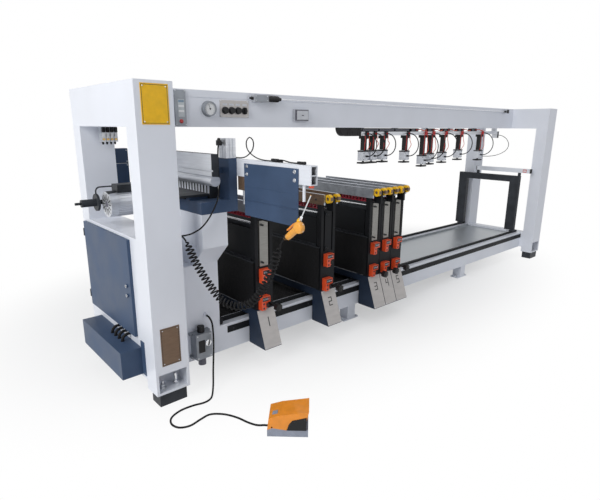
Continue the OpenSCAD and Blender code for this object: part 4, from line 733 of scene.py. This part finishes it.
# Guard plate: a faint crease, bolt washers and hexagon heads
hexagon = [(-0.4, 5.6), (0.5, 5.6), (0.7, 5.0), (0.7, 3.2), (-0.1, 3.0)]
guard = Piece("guard_trim")
guard.box((-1745.9, -906, 1104), (-1744.8, -492, 1107.5), slate, 0.5)
for y in (-885, -513):
    for z in (1207.6, 1169.2):
        guard.turned((-1744.9, y, z), LEFT, [(-0.3, 9.5), (1.6, 9.5), (2.0, 9.0)], chrome)
        guard.turned((-1750.8, y, z), LEFT, hexagon, chrome, 6)
guard.done()

# Screws of the strip along the front of the bed, and the plug in the end of the guide rail
strip = Piece("strip_screws")
for k in range(13):
    strip.bolt((-1720 + 300 * k, -305.8, 245), FRONT, 7, dark_steel, 2.6)
strip.turned((-1794.6, -285, 308), RIGHT, [(-0.4, 21), (2, 21), (4, 18), (4, 8), (2, 7)], rubber, 32)
strip.done()

# Foot bolts of the posts and legs
anchor_x = 2219.8
feet = Piece("foot_bolts")
for side in (-1, 1):
    for y in (-384, 384):
        x = side * anchor_x
        feet.turned((x, y, 77.6), UP, [(-0.5, 20), (3, 20), (3.4, 19)], steel, 28)
        feet.turned((x, y, 81), UP, [(0, 14), (14, 14), (15.5, 12.5)], steel, 6)
        feet.rod((x, y, 95), (x, y, 118), 15, steel)
feet.done()
bed_start = -1811
bed_length = 3902
leg_nut = [(-0.5, 13), (2.5, 13), (2.5, 10), (10, 10), (11, 9)]
for share in (0.295, 0.7025):
    for y in (-247, 385):
        leg = Piece("leg_bolts_%d_%d" % (share * 1000, y + 500))
        for s in (-1, 1):
            leg.turned((bed_start + bed_length * share + s * 58, y, 11.8), UP, leg_nut, steel, 6)
        leg.done()

# End caps and bare tag of the support at the right end
tip = Piece("support_bar_caps", "end_support")
tip.box((1979, -372, 940), (2021, -363, 986), black_plastic, 2)
tip.box((1979, 231, 940), (2021, 240, 986), black_plastic, 2)
tip.box((1979.4, -330, 948), (1981, -290, 978), red, 0.5)
tip.box((1978.9, -326, 956), (1980, -294, 970), dial_white, 0.3)
tip.done()

# Hold-downs: plates round each body, screws, caps, fittings at the rail and two tubes
clamp_start = -329
clamp_length = 2180
clamp_shares = [0.03, 0.075, 0.138, 0.275, 0.395, 0.45, 0.545, 0.672, 0.853]
clamp_lifts = [1, 1, 1, 0.75, 0, 0.2, 0.3, 0.55, 0.25]
lowest_body = 1085
body_lift = 62
body_height = 70
for k, (share, lift) in enumerate(zip(clamp_shares, clamp_lifts)):
    x = clamp_start + clamp_length * share
    body_z = lowest_body + body_lift * lift
    body_top = body_z + body_height
    zone("clamp_cylinders", black_plastic, x=(x - 40, x + 40), z=(body_z + 72.5, 1345))
    kit = Piece("clamp_kit_%d" % (k + 1))
    for s in (-1, 1):
        for z in (61, 10):
            kit.bolt((x + s * 25, -28.8, body_z + z), FRONT, 5, dark_steel, 2.4)
        front = s * 25.9
        side = x + s * 30.9
        kit.box((x - 34, front - 3.1, body_z + 1), (x + 34, front + 3.1, body_top), white_alu, 2.0)
        kit.box((side - 3.1, -23, body_z + 1), (side + 3.1, 23, body_top), white_alu)
    kit.box((x - 36, -31, body_top + 0.2), (x + 36, 31, body_top + 10), black_plastic, 2.0)
    kit.box((x - 16, -40, 1339), (x + 16, -29.6, 1373), red if k > 3 else black_plastic, 2.0)
    kit.box((x - 30, -27, 1316), (x + 30, 27, 1340.2), black_plastic, 3.0)
    kit.done()
    for j, (finish, dx, out) in enumerate(((orange, 20, -44), (red, -20, -38))):
        route = [(x + dx, -22, body_z + 84), (x + dx, -30, body_z + 92), (x + dx * 1.5, out, body_z + 130),
                 (x + dx * 0.9, out + 6, 1300), (x + dx * 1.2, -34, 1330), (x + dx * 1.2, -26, 1346)]
        tube("clamp_tube_%d_%d" % (k + 1, j), route, 26, 5.0, finish)

# Duct, valves and tubes on the hold-down rail
duct = Piece("rail_duct")
for k in range(3):
    x0 = -318 + 204 * k
    duct.box((x0, -26, 1370.2), (x0 + 198, 10, 1397), black_plastic, 2.0)
    duct.box((x0 + 6, -28, 1376), (x0 + 192, -25.6, 1391), dark_plastic, 0.8)
duct.done()
valve_pitch = 250
valves = Piece("rail_valves")
for k in range(5):
    x0 = 300 + valve_pitch * k
    valves.box((x0, -34, 1370), (x0 + 110, 6, 1397), black_plastic, 2)
    valves.box((x0 + 10, -36.2, 1376), (x0 + 48, -33.6, 1391), dark_plastic)
    valves.turned((x0 + 80, -33.8, 1384), FRONT, [(-0.4, 6), (5, 6), (5, 4.4), (9, 4.2)], red, 20)
valves.done()
for k in range(5):
    x0 = 408 + valve_pitch * k
    for j in range(2):
        route = [(x0, -20 - 8 * j, 1390 - 6 * j), (x0 + 30, -38, 1388), (x0 + 75, -40 - 5 * j, 1376),
                 (x0 + 120, -34, 1384 - 4 * j), (x0 + 144, -22, 1386)]
        tube("rail_tube_%d_%d" % (k, j), route, 24, 6.0, orange)

# Ribbed rubber liner in the tray under the units. Its black rubber also stands in for the shade that falls in
# the tray under the units
rib_pitch = 30
liner_and_shade = Piece("tray_liner_and_shade")
liner_and_shade.box((-1806, -187, 261.1), (-232, 325, 264), rubber, 0.8)
for k in range(52):
    x0 = -1800 + rib_pitch * k
    liner_and_shade.box((x0, -184, 263.6), (x0 + 14, 322, 266), rubber, 0.7)
liner_and_shade.done()

# Blow gun: drum of the valve, grip sleeve, yellow nozzle base, hose socket and a paper tag
gun_back = (0, math.cos(gun_tilt), math.sin(gun_tilt))
gun_frame = Matrix((RIGHT, gun_back, gun_axis)).transposed().to_4x4()
gun_frame.translation = gun_at
drum = [(0, 16), (1.5, 23), (5, 27), (12, 28), (24, 27.5), (30, 24), (32, 17)]
sleeve = [(0, 12.5), (2, 15), (20, 16), (60, 16.5), (84, 17), (92, 15)]
nozzle_base = [(0, 11), (10, 11), (12, 9.5), (12, 7), (18, 6.6), (19.5, 5)]
socket = [(-14, 12.6), (-2, 13.6), (0, 13), (0, 8), (10, 7.6), (12, 6)]
shell = Piece("gun_shell")
shell.turned((-20, -8, 118), RIGHT, drum, gun_yellow, 36, gun_frame)
shell.turned((0, -4, 12), UP, sleeve, gun_yellow, 28, gun_frame)
shell.turned((0, 14, 128), (0, 0.6, 0.8), nozzle_base, yellow, 24, gun_frame)
shell.turned((0, 0, 2), DOWN, socket, black_plastic, 24, gun_frame)
shell.done()
tag = Piece("gun_tag")
tag.box((-1765.8, -968, 946), (-1764.4, -934, 984), dial_white, 0.5)
tag.turned((-1765.1, -938, 988), (0, 0.5, 1), [(-6, 1.2), (14, 1.2), (16, 1.0)], black_ink, 12)
tag.done()

# Plugs of the sensor lead, elbow of the lift cylinder and a small orange cap under the fence
fence_top = 1240.3
plugs = Piece("lead_plugs")
plugs.box((-1726, -912, fence_top), (-1712, -878, 1253), black_plastic, 2.5)
plugs.turned((-1719, -911, 1247), FRONT, [(-0.5, 5), (8, 5), (8, 7.5), (16, 7.5), (17, 6)], black_plastic, 20)
plugs.box((-1727, -735, fence_top), (-1711, -688, 1256), black_plastic, 3.0)
plugs.box((-1722, -770, fence_top), (-1716, -734, 1249), rubber, 1.5)
plugs.box((-1833, -394, 1309), (-1811.6, -368, 1336), black_plastic, 3.0)
plugs.turned((-1822, -381, 1335), UP, [(-0.5, 9), (7, 9), (7, 7), (11, 6.6), (12, 5)], black_plastic, 20)
plugs.box((-1729, -982, 1141), (-1713, -962, 1153.2), orange, 2.0)
plugs.done()

# Valve coils and push fittings of the valve block under the left bridge
block_front = 250.4
coils = Piece("valve_fittings")
for k in range(4):
    x = -2176 + 22.5 * k
    coils.box((x - 8, 236, 1368), (x + 8, block_front, 1396), black_plastic, 1.6)
    coils.box((x - 6, 240, 1344), (x + 6, block_front, 1364), dial_white, 1.2)
    coils.turned((x, block_front, 1330), FRONT, [(-0.5, 6.5), (7, 6.5), (7, 5), (13, 5), (14, 4)], brass, 18)
    coils.turned((x, 268, 1316.4), DOWN, [(-0.5, 6), (9, 6), (9, 4.6), (15, 4.4)], black_plastic, 18)
coils.done()

# Terminal box on the inner face of the rear left post, with two lids and three glands
gland = [(-0.5, 9), (8, 9), (8, 7.5), (15, 7), (17, 5.5)]
terminal = Piece("post_box")
terminal.box((-2091.3, 386, 1046), (-1992, 437, 1272), slate, 2.5)
for low, top in ((1186, 1268), (1050, 1180)):
    terminal.box((-2086, 382.6, low), (-1996, 386.6, top), slate, 1.4)
terminal.box((-2091.3, 383.4, 1181.5), (-1990.8, 386.4, 1184.5), steel, 0.6)
terminal.front_bolts((-2079, -2003), 382.8, (1058, 1172, 1194, 1260), 5, 2.2)
for x in (-2066, -2042, -2018):
    terminal.turned((x, 412, 1046.4), DOWN, gland, black_plastic, 20)
terminal.done()

# Air service unit: window, gauge, side block and screws
x0, x1 = -2003, -1907
service = Piece("service_trim")
service.box((x0 + 14, -369.6, 190), (x0 + 52, -367.6, 262), black_plastic, 1.6)
service.turned((x1 - 24, -367.6, 240), FRONT, [(-0.5, 19), (6, 19), (8, 17), (8, 15)], chrome, 32)
service.turned((x1 - 24, -374.6, 240), FRONT, [(-0.4, 14.6), (0.6, 14.6), (0.9, 14)], dial_white, 32)
service.box((x1 - 0.4, -352, 176), (x1 + 9, -318, 276), black_plastic, 2.4)
service.front_bolts((x0 + 9, x1 - 9), -367.8, (158, 290), 6, 2.4)
service.done()

# Pedal: a dark flap on each side of the hood's mouth, partly painted shade standing for the dark inside of
# the open hood, with bolts on one, and a bare grey badge on its slope
hood_slope = math.radians(17.1)
pedal = Piece("pedal_trim")
pedal_place = frame_at((toe.x, toe.y, 0), toe_axis, UP)
shade_flap = [(92, 34.6), (182, 34.6), (185, 103), (118, 86), (102, 66)]
pedal.prism(shade_flap, 60.1, 61.8, black_plastic, pedal_place)
pedal.prism(shade_flap, -61.8, -60.1, black_plastic, pedal_place)
for x, z in ((108, 66), (128, 80), (176, 92)):
    pedal.bolt(pedal_place @ Vector((x, z, 61.6)), pedal_place.to_3x3() @ Vector(UP), 5, dark_steel, 2)
slope = pedal_place @ Matrix.Translation((36, 103.4, 0)) @ Matrix.Rotation(hood_slope, 4, "Z")
pedal.box((-13, -0.3, 8), (13, 1.8, 36), pedal_grey, 0.6, slope)
pedal.done()


# Rays that show the background: from the camera, off gloss and through glass
def seen(tree):
    rays = tree.nodes.new("ShaderNodeLightPath")
    first = tree.nodes.new("ShaderNodeMath")
    first.operation = "MAXIMUM"
    second = tree.nodes.new("ShaderNodeMath")
    second.operation = "MAXIMUM"
    tree.links.new(rays.outputs["Is Camera Ray"], first.inputs[0])
    tree.links.new(rays.outputs["Is Glossy Ray"], first.inputs[1])
    tree.links.new(first.outputs["Value"], second.inputs[0])
    tree.links.new(rays.outputs["Is Transmission Ray"], second.inputs[1])
    return second.outputs["Value"]


# Floor
reach = 30
floor_mesh = bpy.data.meshes.new("floor")
corners = [(-reach, -reach, 0), (reach, -reach, 0), (reach, reach, 0), (-reach, reach, 0)]
floor_mesh.from_pydata(corners, [], [(0, 1, 2, 3)])
floor = bpy.data.objects.new("floor", floor_mesh)
scene.collection.objects.link(floor)
floor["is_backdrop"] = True
floor_look = bpy.data.materials.new("floor")
floor_look.use_nodes = True
tree = floor_look.node_tree
matt = tree.nodes["Principled BSDF"]
matt.inputs["Base Color"].default_value = (0.86, 0.87, 0.88, 1)
matt.inputs["Roughness"].default_value = 0.7
# It fades to white away from a long spot under the machine and behind it
place_on_floor = tree.nodes.new("ShaderNodeNewGeometry")
shift = tree.nodes.new("ShaderNodeVectorMath")
shift.operation = "SUBTRACT"
shift.inputs[1].default_value = (-0.1, 0.7, 0.0)
tree.links.new(place_on_floor.outputs["Position"], shift.inputs[0])
squeeze = tree.nodes.new("ShaderNodeVectorMath")
squeeze.operation = "MULTIPLY"
squeeze.inputs[1].default_value = (0.62, 1.0, 0.0)
tree.links.new(shift.outputs["Vector"], squeeze.inputs[0])
distance = tree.nodes.new("ShaderNodeVectorMath")
distance.operation = "LENGTH"
tree.links.new(squeeze.outputs["Vector"], distance.inputs[0])
fade = tree.nodes.new("ShaderNodeMapRange")
fade.interpolation_type = "SMOOTHSTEP"
fade.inputs["From Min"].default_value = 0.9
fade.inputs["From Max"].default_value = 2.1
fade.inputs["To Min"].default_value = 0.45
tree.links.new(distance.outputs["Value"], fade.inputs["Value"])
glow = tree.nodes.new("ShaderNodeEmission")
glow.inputs["Color"].default_value = (1, 1, 1, 1)
glow.inputs["Strength"].default_value = 1.0
white_share = tree.nodes.new("ShaderNodeMath")
white_share.operation = "MULTIPLY"
tree.links.new(fade.outputs["Result"], white_share.inputs[0])
tree.links.new(seen(tree), white_share.inputs[1])
floor_mix = tree.nodes.new("ShaderNodeMixShader")
tree.links.new(white_share.outputs["Value"], floor_mix.inputs["Fac"])
tree.links.new(matt.outputs["BSDF"], floor_mix.inputs[1])
tree.links.new(glow.outputs["Emission"], floor_mix.inputs[2])
tree.links.new(floor_mix.outputs["Shader"], tree.nodes["Material Output"].inputs["Surface"])
floor_mesh.materials.append(floor_look)

# World: soft light on the object, and plain white where it is seen
world = bpy.data.worlds.new("studio")
scene.world = world
world.use_nodes = True
tree = world.node_tree
back = tree.nodes["Background"]
back.inputs["Color"].default_value = (0.93, 0.95, 1.0, 1)
back.inputs["Strength"].default_value = 0.27
plain = tree.nodes.new("ShaderNodeBackground")
plain.inputs["Color"].default_value = (1, 1, 1, 1)
plain.inputs["Strength"].default_value = 1.0
blend = tree.nodes.new("ShaderNodeMixShader")
tree.links.new(seen(tree), blend.inputs["Fac"])
tree.links.new(back.outputs["Background"], blend.inputs[1])
tree.links.new(plain.outputs["Background"], blend.inputs[2])
tree.links.new(blend.outputs["Shader"], tree.nodes["World Output"].inputs["Surface"])


def lamp(name, place, target, size, power, colour):
    data = bpy.data.lights.new(name, "AREA")
    data.shape = "SQUARE"
    data.size = size
    data.energy = power
    data.color = colour
    made = bpy.data.objects.new(name, data)
    made.location = place
    made.rotation_mode = "QUATERNION"
    made.rotation_quaternion = (Vector(target) - Vector(place)).to_track_quat("-Z", "Y")
    scene.collection.objects.link(made)


lamp("key", (-8.0, -1.8, 4.6), (-0.5, 0, 0.8), 4.0, 360, (1.0, 0.99, 0.97))
lamp("fill", (1.5, -6.0, 4.0), (0.3, 0, 0.8), 5.0, 45, (0.95, 0.96, 1.0))
lamp("top", (0.0, 0.0, 6.5), (0, 0, 0), 6.0, 80, (1.0, 1.0, 1.0))

low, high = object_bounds()
